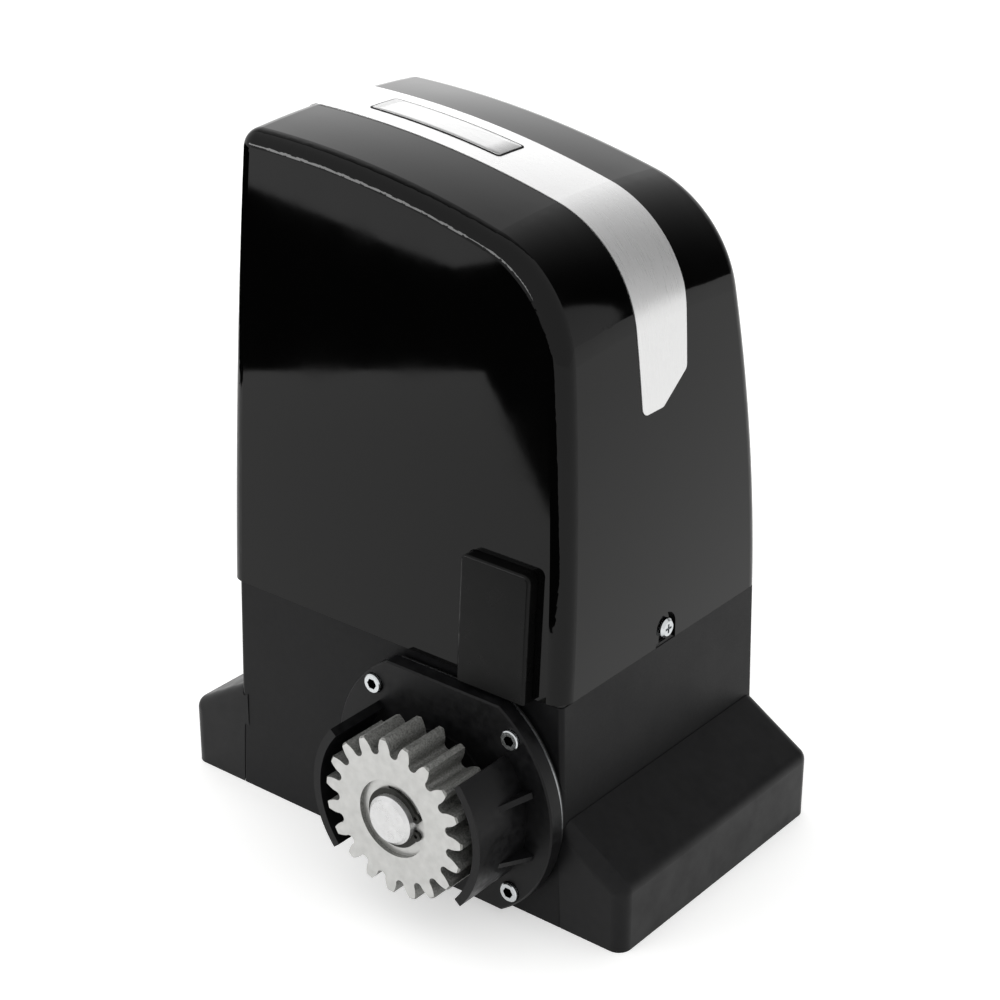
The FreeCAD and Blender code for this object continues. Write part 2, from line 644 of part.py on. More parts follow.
def meet(first, first_radius, second, second_radius):
    """Meeting point, on the +X side, of two circles in the front elevation."""
    dx, dz = second[0] - first[0], second[1] - first[1]
    span = math.hypot(dx, dz)
    along = (first_radius ** 2 - second_radius ** 2 + span ** 2) / (2 * span)
    away = math.sqrt(first_radius ** 2 - along ** 2)
    return (first[0] + (along * dx - away * dz) / span,
            first[1] + (along * dz + away * dx) / span)


def on_circle(centre, radius, towards):
    reach = math.hypot(towards[0] - centre[0], towards[1] - centre[1])
    return (centre[0] + radius * (towards[0] - centre[0]) / reach,
            centre[1] + radius * (towards[1] - centre[1]) / reach)


def cover_outline(inset, low, fall=0.0):
    """Front elevation of the cover: an upright left end, a rounded corner, the long crown,
    the shoulder and the leaning right end, all tangent. Inset moves it inwards, fall lowers
    the crown."""
    peak = COVER_TOP - fall
    corner = (COVER_LEFT + LEFT_CORNER_RADIUS, peak - LEFT_CORNER_RADIUS)
    crown = (corner[0], peak - CROWN_RADIUS)
    end = (COVER_RIGHT - END_RADIUS, COVER_BOTTOM)
    shoulder = meet(end, END_RADIUS - SHOULDER_RADIUS, crown, CROWN_RADIUS - SHOULDER_RADIUS)
    to_shoulder = (2 * shoulder[0] - crown[0], 2 * shoulder[1] - crown[1])
    to_end = (2 * shoulder[0] - end[0], 2 * shoulder[1] - end[1])
    crown_end = on_circle(crown, CROWN_RADIUS - inset, to_shoulder)
    end_top = on_circle(end, END_RADIUS - inset, to_end)
    middle_way = (shoulder[0] + 1, shoulder[1] + 1)
    left = COVER_LEFT + inset
    right = COVER_RIGHT - inset
    top = peak - inset
    corner_radius = LEFT_CORNER_RADIUS - inset
    diagonal = corner_radius * math.sqrt(0.5)

    def at(x, z):
        return V(x, 0, z)

    crown_middle = on_circle(crown, CROWN_RADIUS - inset,
                             ((corner[0] + crown_end[0]) / 2, top))
    end_middle_z = (COVER_BOTTOM + end_top[1]) / 2
    end_middle = on_circle(end, END_RADIUS - inset, (right, end_middle_z))
    shoulder_middle = on_circle(shoulder, SHOULDER_RADIUS - inset, middle_way)
    edges = [
        Part.makeLine(at(left, low), at(left, corner[1])),
        arc(at(left, corner[1]), at(corner[0] - diagonal, corner[1] + diagonal),
            at(corner[0], top)),
        arc(at(corner[0], top), at(*crown_middle), at(*crown_end)),
        arc(at(*crown_end), at(*shoulder_middle), at(*end_top)),
        arc(at(*end_top), at(*end_middle), at(right, COVER_BOTTOM)),
    ]
    if low < COVER_BOTTOM:
        edges.append(Part.makeLine(at(right, COVER_BOTTOM), at(right, low)))
    edges.append(Part.makeLine(at(right, low), at(left, low)))
    return Part.Wire(edges)


def cover_half_depth(z, inset):
    """Half the depth of the cover at a height: the long faces are arcs that lean inwards."""
    lean = math.atan(SIDE_LEAN)
    centre_y = COVER_DEPTH / 2 - SIDE_RADIUS * math.cos(lean)
    centre_z = COVER_BOTTOM - SIDE_RADIUS * math.sin(lean)
    return centre_y + math.sqrt((SIDE_RADIUS - inset) ** 2 - (z - centre_z) ** 2)


def cover_section(inset, low, high):
    """End elevation of the cover between two heights, as a face in the plane X = 0."""
    middle = (low + high) / 2

    def at(side, z):
        return V(0, side * cover_half_depth(z, inset), z)

    return Part.Face(Part.Wire([
        Part.makeLine(at(-1, low), at(1, low)),
        arc(at(1, low), at(1, middle), at(1, high)),
        Part.makeLine(at(1, high), at(-1, high)),
        arc(at(-1, high), at(-1, middle), at(-1, low)),
    ]))


def crowned_slab(inset, low):
    """The front elevation carried from front to rear, its crown lowest at both ends."""
    sections = []
    for share in (-1.0, -0.5, 0.0, 0.5, 1.0):
        y = share * (COVER_DEPTH / 2 + 1)
        fall = CROWN_SIDE_RADIUS - math.sqrt(CROWN_SIDE_RADIUS ** 2 - y ** 2)
        section = cover_outline(inset, low, fall)
        section.translate(V(0, y, 0))
        sections.append(section)
    return Part.makeLoft(sections, True, False)


def cover_end_x(side, inset):
    return COVER_RIGHT - inset if side > 0 else COVER_LEFT + inset


def cover_block(inset, low=COVER_BOTTOM, rounded=0.0):
    length = COVER_RIGHT - COVER_LEFT + 20
    slab = crowned_slab(inset, low)
    section = cover_section(inset, low, COVER_TOP + 10).extrude(V(length, 0, 0))
    section.translate(V(COVER_LEFT - 10, 0, 0))
    block = slab.common(section)
    if not rounded:
        return block
    return round_edges(block, rounded, lambda b: b.YLength < 40 and b.ZMax > low + 1e-3)


def trim_prism(gap):
    """Prism along X with the outline of the trim strip, larger all round by the gap."""
    front, rear = TRIM_FRONT_Y - gap, TRIM_REAR_Y + gap
    low, top = TRIM_LOW_Z - gap, COVER_TOP + 10
    right = COVER_RIGHT + 10
    points = [V(0, front, top), V(0, front, low), V(0, rear - TRIM_CHAMFER_Y - TRIM_CORNER, low),
              V(0, rear - TRIM_CORNER, low + TRIM_CHAMFER_Z),
              V(0, rear, low + 4 * TRIM_CHAMFER_Z), V(0, rear, top)]
    prism = Part.Face(Part.makePolygon(points + points[:1])).extrude(V(right, 0, 0))
    prism = round_edges(prism, TRIM_CORNER,
                        lambda b: b.XLength > right - 1 and b.ZMax < low + TRIM_CHAMFER_Z + 1)
    left = box(COVER_LEFT - 10, 0, front, rear, TRIM_LEFT_Z - gap, top)
    return join([prism, left])


def trim_strip():
    layer = cover_block(-TRIM_PROUD).cut(cover_block(TRIM_DEPTH, COVER_BOTTOM - 1))
    return layer.common(trim_prism(0))


def notch(side, half_width, depth, through):
    """U notch in an end wall, open at the cover's lower edge."""
    outer = cover_end_x(side, depth)
    ends = sorted((outer, outer + side * through))
    top = COVER_SCREW_Z
    return join([box(ends[0], ends[1], -half_width, half_width, COVER_BOTTOM - 1, top),
                 rod_x(half_width, ends[0], ends[1], 0, top)])


def sensor_window(gap):
    """Room for the sensor housing, open at the cover's lower edge."""
    low = COVER_BOTTOM - 2 * SEAL_THICKNESS
    window = box(SENSOR_LEFT - gap, SENSOR_RIGHT + gap, -COVER_DEPTH, -COVER_DEPTH / 4, low,
                 SENSOR_TOP + gap)
    top = SENSOR_TOP + gap
    return round_edges(window, SENSOR_CORNER + gap,
                       lambda b: b.ZMin > top - 1e-3 and b.YLength > 1)


def top_cover():
    outer = cover_block(0, rounded=COVER_EDGE_RADIUS)
    inner = cover_block(COVER_WALL, COVER_BOTTOM - 1)
    recess = trim_prism(SKIN_GAP).cut(cover_block(TRIM_DEPTH + SKIN_GAP))
    shell = outer.cut(inner).cut(recess).cut(sensor_window(COVER_GAP))
    slot = COVER_SCREW_RADIUS + COVER_SLOT_CLEARANCE
    for side in (-1, 1):
        shell = shell.cut(notch(side, NOTCH_WIDTH / 2, NOTCH_DEPTH, 2 * COVER_WALL))
        shell = shell.cut(notch(side, slot, 2 * COVER_WALL, 4 * COVER_WALL))
    return shell


def cover_seal():
    half_x, half_y = body_half(BODY_HEIGHT, -SEAL_INSET)
    outer = rounded_rectangle(half_x, half_y, BODY_CORNER, BODY_HEIGHT)
    inner = rounded_rectangle(half_x - SEAL_WIDTH, half_y - SEAL_WIDTH, 1.0, BODY_HEIGHT)
    ring = outer.cut(inner).extrude(V(0, 0, SEAL_THICKNESS))
    ring = ring.cut(sensor_window(COVER_GAP))
    for side in (-1, 1):
        lug = cover_end_x(side, COVER_WALL + COVER_GAP + LUG_THICKNESS / 2)
        reach = LUG_THICKNESS / 2 + COVER_GAP
        ring = ring.cut(box(lug - reach, lug + reach, -LUG_WIDTH / 2 - COVER_GAP,
                            LUG_WIDTH / 2 + COVER_GAP, BODY_HEIGHT - 1, COVER_BOTTOM + 1))
    return ring


def cover_screw_hole(side):
    under_head = cover_end_x(side, NOTCH_DEPTH)
    ends = sorted((under_head, under_head - side * (COVER_SCREW_LENGTH + 1)))
    return rod_x(COVER_SCREW_RADIUS + SEAT_FIT, ends[0], ends[1], 0, COVER_SCREW_Z)


def cover_screw(side):
    under_head = cover_end_x(side, NOTCH_DEPTH)
    ends = sorted((under_head, under_head - side * COVER_SCREW_LENGTH))
    shank = rod_x(COVER_SCREW_RADIUS, ends[0], ends[1], 0, COVER_SCREW_Z)
    head_ends = sorted((under_head, under_head + side * COVER_SCREW_HEAD_HEIGHT))
    head = rod_x(COVER_SCREW_HEAD, head_ends[0], head_ends[1], 0, COVER_SCREW_Z)
    face = under_head + side * COVER_SCREW_HEAD_HEIGHT
    head = head.makeChamfer(1.2, [e for e in head.Edges
                                  if abs(e.BoundBox.XMin - face) < 1e-3
                                  and abs(e.BoundBox.XMax - face) < 1e-3])
    slot_ends = sorted((face, face - side * COVER_SCREW_HEAD_HEIGHT / 2))
    slots = [box(slot_ends[0] - 0.01, slot_ends[1] + 0.01, -w, w, COVER_SCREW_Z - h,
                 COVER_SCREW_Z + h) for w, h in ((0.6, 2.4), (2.4, 0.6))]
    return join([shank, head]).cut(join(slots))


def sensor_slab(outer_inset, inner_inset, margin):
    """Slab that leans with the cover's front, within the sensor window less a margin."""
    low = BODY_HEIGHT + MOVING_GAP + margin
    width = V(SENSOR_RIGHT - SENSOR_LEFT, 0, 0)
    slab = cover_section(outer_inset, low, COVER_TOP).extrude(width)
    slab = slab.cut(cover_section(inner_inset, low - 1, COVER_TOP + 1).extrude(width))
    slab.translate(V(SENSOR_LEFT, 0, 0))
    return slab.common(sensor_window(-margin))


def sensor_posts(slab):
    middle = (SENSOR_LEFT + SENSOR_RIGHT) / 2
    back = sensor_board_y()
    return [rod_y(SENSOR_POST, back - SENSOR_DEPTH, back, middle, z).common(slab)
            for z in (COVER_BOTTOM + 3 * SENSOR_POST, SENSOR_TOP - 5 * SENSOR_POST)]


def sensor_board_y():
    return -cover_half_depth(SENSOR_TOP, 0) + SENSOR_WALL / 2


def sensor_housing():
    slab = sensor_slab(-SENSOR_PROUD, SENSOR_DEPTH - SENSOR_PROUD, 0)
    front = -cover_half_depth(SENSOR_TOP, -SENSOR_PROUD)
    rounded = round_edges(slab, SENSOR_EDGE,
                          lambda b: b.YMax < front + 1 and b.ZMax > COVER_BOTTOM + 1)
    hollow = sensor_slab(-SENSOR_PROUD + SENSOR_WALL, SENSOR_DEPTH, SENSOR_WALL)
    foot_y = BODY_FRONT + BODY_WALL + BODY_DRAFT_Y + COVER_GAP
    foot = box(SENSOR_LEFT + 2 * SENSOR_WALL, SENSOR_RIGHT - 2 * SENSOR_WALL, foot_y,
               foot_y + SENSOR_WALL, CHAMBER_TOP, COVER_BOTTOM + SENSOR_WALL)
    return join([rounded.cut(hollow), foot] + sensor_posts(slab))


def sensor_board():
    back = sensor_board_y()
    edge = 2 * SENSOR_WALL
    board = box(SENSOR_LEFT + edge, SENSOR_RIGHT - edge, back, back + SENSOR_BOARD,
                COVER_BOTTOM + edge, SENSOR_TOP - 2 * edge)
    middle = (SENSOR_LEFT + SENSOR_RIGHT) / 2
    reeds = [rod_z(1.4, COVER_BOTTOM + 5 * edge, COVER_BOTTOM + 9 * edge, middle + x,
                   back + SENSOR_BOARD + 1.3) for x in (-edge, edge)]
    return join([board] + reeds)


# ------------------------------------------------------------------ flange and guards

def flange_disc(radius, y0, y1, trim):
    """Disc about the pinion axis with a flat upper and a flat lower edge."""
    disc = rod_y(radius, y0, y1)
    return disc.common(box(PINION_X - radius, PINION_X + radius, y0, y1, FLANGE_LOW_Z + trim,
                           FLANGE_TOP_Z - trim))


def guard_wall(side):
    ring = tube_y(GUARD_OUTER_RADIUS, GUARD_INNER_RADIUS, GUARD_FRONT_Y, FLANGE_FRONT_Y + 1)
    reach = 2 * GUARD_OUTER_RADIUS
    rise = reach * math.tan(math.radians(GUARD_HALF_ANGLE))
    points = [V(PINION_X, GUARD_FRONT_Y - 1, PINION_Z),
              V(PINION_X + side * reach, GUARD_FRONT_Y - 1, PINION_Z + rise),
              V(PINION_X + side * reach, GUARD_FRONT_Y - 1, PINION_Z - rise)]
    depth = FLANGE_FRONT_Y - GUARD_FRONT_Y + 3
    wedge = Part.Face(Part.makePolygon(points + points[:1])).extrude(V(0, depth, 0))
    return ring.common(wedge)


def gusset(angle):
    """Three-cornered web between the flange and a guard wall, square to the wall."""
    y0 = FLANGE_FRONT_Y
    inner = GUARD_OUTER_RADIUS - 0.5
    half = GUSSET_THICKNESS / 2
    points = [V(PINION_X + inner, y0 + 1, PINION_Z - half),
              V(PINION_X + GUSSET_RADIUS, y0 + 1, PINION_Z - half),
              V(PINION_X + GUSSET_RADIUS, y0 - 1, PINION_Z - half),
              V(PINION_X + inner, y0 - GUSSET_RISE, PINION_Z - half)]
    web = Part.Face(Part.makePolygon(points + points[:1])).extrude(V(0, 0, GUSSET_THICKNESS))
    return turned(web, angle, Y_AXIS)


def pinion_guard():
    plate = flange_disc(FLANGE_RADIUS, FLANGE_FRONT_Y, FLANGE_BACK_Y, 0)
    plate = plate.makeChamfer(FLANGE_CHAMFER, [e for e in plate.Edges
                                               if e.BoundBox.YMax < FLANGE_FRONT_Y + 1e-3])
    boss = rod_y(FLANGE_BOSS_RADIUS, FLANGE_FRONT_Y - FLANGE_BOSS_RISE, FLANGE_BACK_Y)
    webs = [gusset(HALF_TURN * turn + angle) for turn in (0, 1)
            for angle in (-GUSSET_ANGLE, GUSSET_ANGLE)]
    guard = join([plate, boss, guard_wall(-1), guard_wall(1)] + webs)
    guard = guard.cut(rod_y(PINION_HUB_RADIUS + 1, FLANGE_FRONT_Y - 5, FLANGE_BACK_Y + 1))
    for x, z in flange_screw_places():
        guard = guard.cut(rod_y(FLANGE_SCREW_RADIUS + SCREW_CLEARANCE, FLANGE_FRONT_Y - 1,
                                FLANGE_BACK_Y + 1, x, z))
        guard = guard.cut(rod_y(FLANGE_SCREW_HEAD + SCREW_CLEARANCE, FLANGE_FRONT_Y - 1,
                                FLANGE_FRONT_Y + FLANGE_COUNTERBORE, x, z))
    return guard


def flange_screws():
    under_head = FLANGE_FRONT_Y + FLANGE_COUNTERBORE
    length = PAD_Y + FLANGE_SCREW_GRIP - under_head
    return group([screw_y(x, z, under_head, length, FLANGE_SCREW_RADIUS, FLANGE_SCREW_HEAD,
                          FLANGE_SCREW_HEAD_HEIGHT, FLANGE_SCREW_HEX)
                  for x, z in flange_screw_places()])


def gearbox_cover():
    radius = FLANGE_RADIUS - GEARBOX_COVER_INSET
    plate = flange_disc(radius, FLANGE_BACK_Y, PAD_Y - GASKET_THICKNESS, GEARBOX_COVER_INSET)
    spigot = rod_y(GEARBOX_BORE_RADIUS - RUNNING_FIT, FLANGE_BACK_Y, SPIGOT_BACK_Y)
    cover = join([plate, spigot])
    cover = cover.cut(rod_y(OUTPUT_BEARING_RADIUS + SEAT_FIT, FRONT_BEARING_Y, SPIGOT_BACK_Y + 1))
    cover = cover.cut(rod_y(OIL_SEAL_RADIUS + SEAT_FIT, FLANGE_BACK_Y - 1,
                            FLANGE_BACK_Y + OIL_SEAL_WIDTH))
    cover = cover.cut(rod_y(OIL_SEAL_RADIUS - BEARING_LIP, FLANGE_BACK_Y, SPIGOT_BACK_Y))
    for x, z in flange_screw_places():
        cover = cover.cut(rod_y(FLANGE_SCREW_RADIUS + SCREW_CLEARANCE, FLANGE_BACK_Y - 1, PAD_Y,
                                x, z))
    return cover


def gearbox_gasket():
    ring = flange_disc(FLANGE_RADIUS - GEARBOX_COVER_INSET, PAD_Y - GASKET_THICKNESS, PAD_Y,
                       GEARBOX_COVER_INSET)
    ring = ring.cut(rod_y(GEARBOX_BORE_RADIUS, PAD_Y - 1 - GASKET_THICKNESS, PAD_Y + 1))
    for x, z in flange_screw_places():
        ring = ring.cut(rod_y(FLANGE_SCREW_RADIUS + SCREW_CLEARANCE, PAD_Y - 2, PAD_Y + 1, x, z))
    return ring


def oil_seal():
    return tube_y(OIL_SEAL_RADIUS, SHAFT_RADIUS + RUNNING_FIT, FLANGE_BACK_Y + MOVING_GAP,
                  FLANGE_BACK_Y + OIL_SEAL_WIDTH)


def output_bearings():
    bore = SHAFT_RADIUS + RUNNING_FIT
    rings = [tube_y(OUTPUT_BEARING_RADIUS, bore, y, y + OUTPUT_BEARING_WIDTH)
             for y in (FRONT_BEARING_Y, POCKET_BACK_Y)]
    return group(rings)


# ------------------------------------------------------------------ output shaft group

def key_cutter(grow):
    """Key of the pinion, with its slot when it is grown."""
    y0 = PINION_FRONT_Y + PINION_RECESS_DEPTH + KEY_SETBACK
    low = PINION_Z + SHAFT_RADIUS - KEY_SUNK
    half = KEY_WIDTH / 2 + grow
    return box(PINION_X - half, PINION_X + half, y0 - grow, y0 + KEY_LENGTH + grow, low - grow,
               low + KEY_HEIGHT + grow)


def keyway_through():
    half = KEY_WIDTH / 2 + SEAT_FIT
    top = PINION_Z + SHAFT_RADIUS - KEY_SUNK + KEY_HEIGHT + SEAT_FIT
    return box(PINION_X - half, PINION_X + half, PINION_FRONT_Y - 1,
               PINION_BACK_Y + PINION_HUB_LENGTH + 1, PINION_Z, top)


def wheel_key(grow):
    half = KEY_WIDTH / 2 + grow
    low = PINION_Z + SHAFT_RADIUS - KEY_SUNK
    reach = WHEEL_FACE / 2 + grow
    return box(PINION_X - half, PINION_X + half, WHEEL_CENTRE_Y - reach, WHEEL_CENTRE_Y + reach,
               low - grow, low + KEY_HEIGHT + grow)


def circlip_front():
    return PINION_FRONT_Y + PINION_RECESS_DEPTH - CIRCLIP_THICKNESS


def output_shaft():
    front = PINION_FRONT_Y - SHAFT_NOSE
    shaft = rod_y(SHAFT_RADIUS, front, SHAFT_END_Y)
    shaft = shaft.makeChamfer(SHAFT_CHAMFER, [e for e in shaft.Edges
                                              if e.BoundBox.YMax < front + 1e-3])
    groove = tube_y(SHAFT_RADIUS + 1, SHAFT_RADIUS - CIRCLIP_GROOVE, circlip_front() - SEAT_FIT,
                    circlip_front() + CIRCLIP_THICKNESS + SEAT_FIT)
    return shaft.cut(groove).cut(key_cutter(SEAT_FIT)).cut(wheel_key(SEAT_FIT))


def circlip():
    inner = SHAFT_RADIUS - CIRCLIP_GROOVE + SEAT_FIT
    y0 = circlip_front()
    y1 = y0 + CIRCLIP_THICKNESS
    ring = tube_y(inner + CIRCLIP_WIDTH, inner, y0, y1)
    half = math.radians(CIRCLIP_GAP_ANGLE / 2)
    reach = 2 * inner
    points = [V(PINION_X, y0 - 1, PINION_Z),
              V(PINION_X + reach * math.cos(half), y0 - 1, PINION_Z + reach * math.sin(half)),
              V(PINION_X + reach * math.cos(half), y0 - 1, PINION_Z - reach * math.sin(half))]
    opening = Part.Face(Part.makePolygon(points + points[:1])).extrude(V(0, 4, 0))
    lugs, holes = [], []
    lug_circle = inner + CIRCLIP_LUG_RADIUS
    for side in (-1, 1):
        x = PINION_X + lug_circle * math.cos(half)
        z = PINION_Z + side * lug_circle * math.sin(half)
        lugs.append(rod_y(CIRCLIP_LUG_RADIUS, y0, y1, x, z))
        holes.append(rod_y(CIRCLIP_LUG_HOLE, y0 - 1, y1 + 1, x, z))
    return join([ring.cut(opening)] + lugs).cut(join(holes))


def drive_pinion():
    root = PINION_PITCH_RADIUS - PINION_ROOT_FACTOR * PINION_MODULE
    outline = gear_outline(PINION_TEETH, PINION_MODULE, root, 0.1, PINION_TOOTH_ANGLE,
                          PINION_FRONT_Y)
    teeth = Part.Face(outline).extrude(V(0, PINION_FACE, 0))
    tip = PINION_PITCH_RADIUS + PINION_MODULE
    bevel = Part.makeCone(tip - TIP_BEVEL, tip + PINION_FACE, PINION_FACE + TIP_BEVEL,
                          V(PINION_X, PINION_FRONT_Y, PINION_Z), Y_AXIS)
    teeth = teeth.common(bevel)
    hub = rod_y(PINION_HUB_RADIUS, PINION_BACK_Y, PINION_BACK_Y + PINION_HUB_LENGTH)
    pinion = join([teeth, hub])
    pinion = pinion.cut(rod_y(PINION_RECESS_RADIUS, PINION_FRONT_Y - 1,
                              PINION_FRONT_Y + PINION_RECESS_DEPTH))
    pinion = pinion.cut(rod_y(SHAFT_RADIUS + SEAT_FIT, PINION_FRONT_Y - 1,
                              PINION_BACK_Y + PINION_HUB_LENGTH + 1))
    return pinion.cut(keyway_through())


def worm_wheel():
    """Helical wheel: its outline turns with the worm's lead from face to face."""
    twist = WORM_LEAD / (2 * math.pi * WORM_PITCH_RADIUS) / WHEEL_PITCH_RADIUS
    root = WHEEL_PITCH_RADIUS - PINION_ROOT_FACTOR * WORM_MODULE
    wires = []
    for side in (-1, 1):
        y = WHEEL_CENTRE_Y + side * WHEEL_FACE / 2
        angle = math.pi - side * twist * WHEEL_FACE / 2
        wires.append(gear_outline(WHEEL_TEETH, WORM_MODULE, root, MESH_BACKLASH, angle, y))
    rim = Part.makeLoft(wires, True, True)
    hub = rod_y(WHEEL_HUB_RADIUS, WHEEL_CENTRE_Y - WHEEL_FACE, POCKET_BACK_Y - MOVING_GAP)
    wheel = join([rim, hub]).cut(rod_y(SHAFT_RADIUS + SEAT_FIT, WHEEL_CENTRE_Y - 2 * WHEEL_FACE,
                                       POCKET_BACK_Y + 1))
    return wheel.cut(wheel_key(SEAT_FIT))


# ------------------------------------------------------------------ worm and motor

def worm_thread():
    """Single right-hand thread; at the wheel's side a gap faces the tooth on the centre line."""
    slope = math.tan(PRESSURE_ANGLE)
    core = WORM_ROOT_RADIUS - WORM_CORE_OVERLAP
    pitch_half = WORM_LEAD / 4 - MESH_BACKLASH / 2
    tip_half = pitch_half - WORM_MODULE * slope
    root_half = pitch_half + (WORM_PITCH_RADIUS - core) * slope
    turns = round(WORM_THREAD_LENGTH / WORM_LEAD / 2)
    start = PINION_Z - (turns + 0.5) * WORM_LEAD
    length = (2 * turns + 1) * WORM_LEAD
    helix = Part.makeHelix(WORM_LEAD, length, WORM_PITCH_RADIUS)
    points = [V(core, 0, -root_half), V(WORM_TIP_RADIUS, 0, -tip_half),
              V(WORM_TIP_RADIUS, 0, tip_half), V(core, 0, root_half)]
    profile = Part.makePolygon(points + points[:1])
    thread = Part.Wire(helix).makePipeShell([profile], True, True)
    thread.translate(V(WORM_X, WORM_Y, start))
    return thread


def worm_shaft():
    thread = worm_thread()
    bounds = thread.BoundBox
    fan_top = MOTOR_TOP_Z + 2 * FAN_PLATE + FAN_HEIGHT
    low = WORM_BEARING_LOW_Z
    core_low, core_high = bounds.ZMin - 1, bounds.ZMax + 1
    rotor_low = STATOR_Z + (STATOR_LENGTH - ROTOR_LENGTH) / 2
    rotor_high = rotor_low + ROTOR_LENGTH
    steps = [(WORM_BEARING_BORE, low, core_low), (WORM_ROOT_RADIUS, core_low, core_high),
             (WORM_BEARING_BORE, core_high, rotor_low),
             (ROTOR_SHAFT_RADIUS, rotor_low, rotor_high),
             (WORM_BEARING_BORE, rotor_high, fan_top)]
    core = join([rod_z(r, z0, z1, WORM_X, WORM_Y) for r, z0, z1 in steps])
    return core.fuse(thread)


def rotor_core():
    low = STATOR_Z + (STATOR_LENGTH - ROTOR_LENGTH) / 2
    return tube_z(ROTOR_RADIUS, ROTOR_SHAFT_RADIUS + SEAT_FIT, low, low + ROTOR_LENGTH, WORM_X,
                  WORM_Y)


def cooling_fan():
    low = MOTOR_TOP_Z + FAN_PLATE
    disc = rod_z(FAN_RADIUS, low, low + FAN_PLATE, WORM_X, WORM_Y)
    hub = rod_z(FAN_HUB_RADIUS, low, low + FAN_HEIGHT, WORM_X, WORM_Y)
    blade = box(WORM_X + FAN_HUB_RADIUS - 1, WORM_X + FAN_RADIUS, WORM_Y - FAN_PLATE / 2,
                WORM_Y + FAN_PLATE / 2, low, low + FAN_HEIGHT)
    blades = [turned(blade, 360 * n / FAN_BLADES, Z_AXIS, WORM_X, WORM_Y)
              for n in range(FAN_BLADES)]
    bore = rod_z(WORM_BEARING_BORE + SEAT_FIT, low - 1, low + FAN_HEIGHT + 1, WORM_X, WORM_Y)
    return join([disc, hub] + blades).cut(bore)


def worm_bearings():
    bore = WORM_BEARING_BORE + RUNNING_FIT
    return group([tube_z(WORM_BEARING_RADIUS, bore, z, z + WORM_BEARING_WIDTH, WORM_X, WORM_Y)
                  for z in (WORM_BEARING_LOW_Z, MIDDLE_BEARING_Z, TOP_BEARING_Z)])


def shield_ears(z0, z1):
    return [rod_z(TIE_EAR, z0, z1, x, y) for x, y in tie_places()]


def shield_cup(z0, z1, floor_low, floor_high, bore):
    """Motor end shield: a cup with four ears for the tie bolts."""
    cup = join([rod_z(MOTOR_RADIUS, z0, z1, WORM_X, WORM_Y)] + shield_ears(z0, z1))
    room = rod_z(MOTOR_RADIUS - SHIELD_WALL, floor_low, floor_high, WORM_X, WORM_Y)
    cup = cup.cut(room).cut(rod_z(bore, z0 - 1, z1 + 1, WORM_X, WORM_Y))
    for x, y in tie_places():
        cup = cup.cut(rod_z(TIE_RADIUS + SCREW_CLEARANCE, z0 - 1, z1 + 1, x, y))
    return cup


def lower_end_shield():
    return shield_cup(CHAMBER_TOP, STATOR_Z, CHAMBER_TOP + SHIELD_FLOOR, STATOR_Z + 1,
                      WORM_BEARING_BORE + 1)


def upper_end_shield():
    top = MOTOR_TOP_Z
    cup = shield_cup(STATOR_END_Z, top, STATOR_END_Z - 1, top - SHIELD_FLOOR,
                     WORM_BEARING_BORE + 1)
    hub = tube_z(WORM_BEARING_RADIUS + SHIELD_WALL, WORM_BEARING_BORE + 1, TOP_BEARING_Z, top,
                 WORM_X, WORM_Y)
    seat = rod_z(WORM_BEARING_RADIUS + SEAT_FIT, TOP_BEARING_Z - 1,
                 TOP_BEARING_Z + WORM_BEARING_WIDTH, WORM_X, WORM_Y)
    return join([cup, hub]).cut(seat)


def stator_core():
    ring = tube_z(MOTOR_RADIUS, STATOR_BORE, STATOR_Z, STATOR_END_Z, WORM_X, WORM_Y)
    inner = STATOR_BORE + 1.5
    slot = box(WORM_X + inner, WORM_X + inner + STATOR_SLOT_DEPTH, WORM_Y - STATOR_SLOT_WIDTH / 2,
               WORM_Y + STATOR_SLOT_WIDTH / 2, STATOR_Z - 1, STATOR_END_Z + 1)
    for n in range(STATOR_TEETH):
        ring = ring.cut(turned(slot, 360 * n / STATOR_TEETH, Z_AXIS, WORM_X, WORM_Y))
    return ring


def stator_windings():
    outer = MOTOR_RADIUS - SHIELD_WALL - COVER_GAP
    rings = [tube_z(outer, WINDING_INNER, z, z + WINDING_HEIGHT, WORM_X, WORM_Y)
             for z in (STATOR_Z - WINDING_HEIGHT, STATOR_END_Z)]
    rounded = [ring.makeChamfer(3.0, [e for e in ring.Edges
                                     if abs(e.BoundBox.ZMin - e.BoundBox.ZMax) < 1e-3
                                     and abs(e.BoundBox.ZMin - far) < 1e-3])
               for ring, far in zip(rings, (STATOR_Z - WINDING_HEIGHT,
                                            STATOR_END_Z + WINDING_HEIGHT))]
    return group(rounded)


def tie_bolts():
    low = CHAMBER_TOP - TIE_GRIP
    return group([join([rod_z(TIE_RADIUS, low, MOTOR_TOP_Z + 0.5, x, y),
                        rod_z(TIE_HEAD, MOTOR_TOP_Z, MOTOR_TOP_Z + 2 * TIE_RADIUS, x, y)])
                  for x, y in tie_places()])


# ------------------------------------------------------------------ tray and electronics

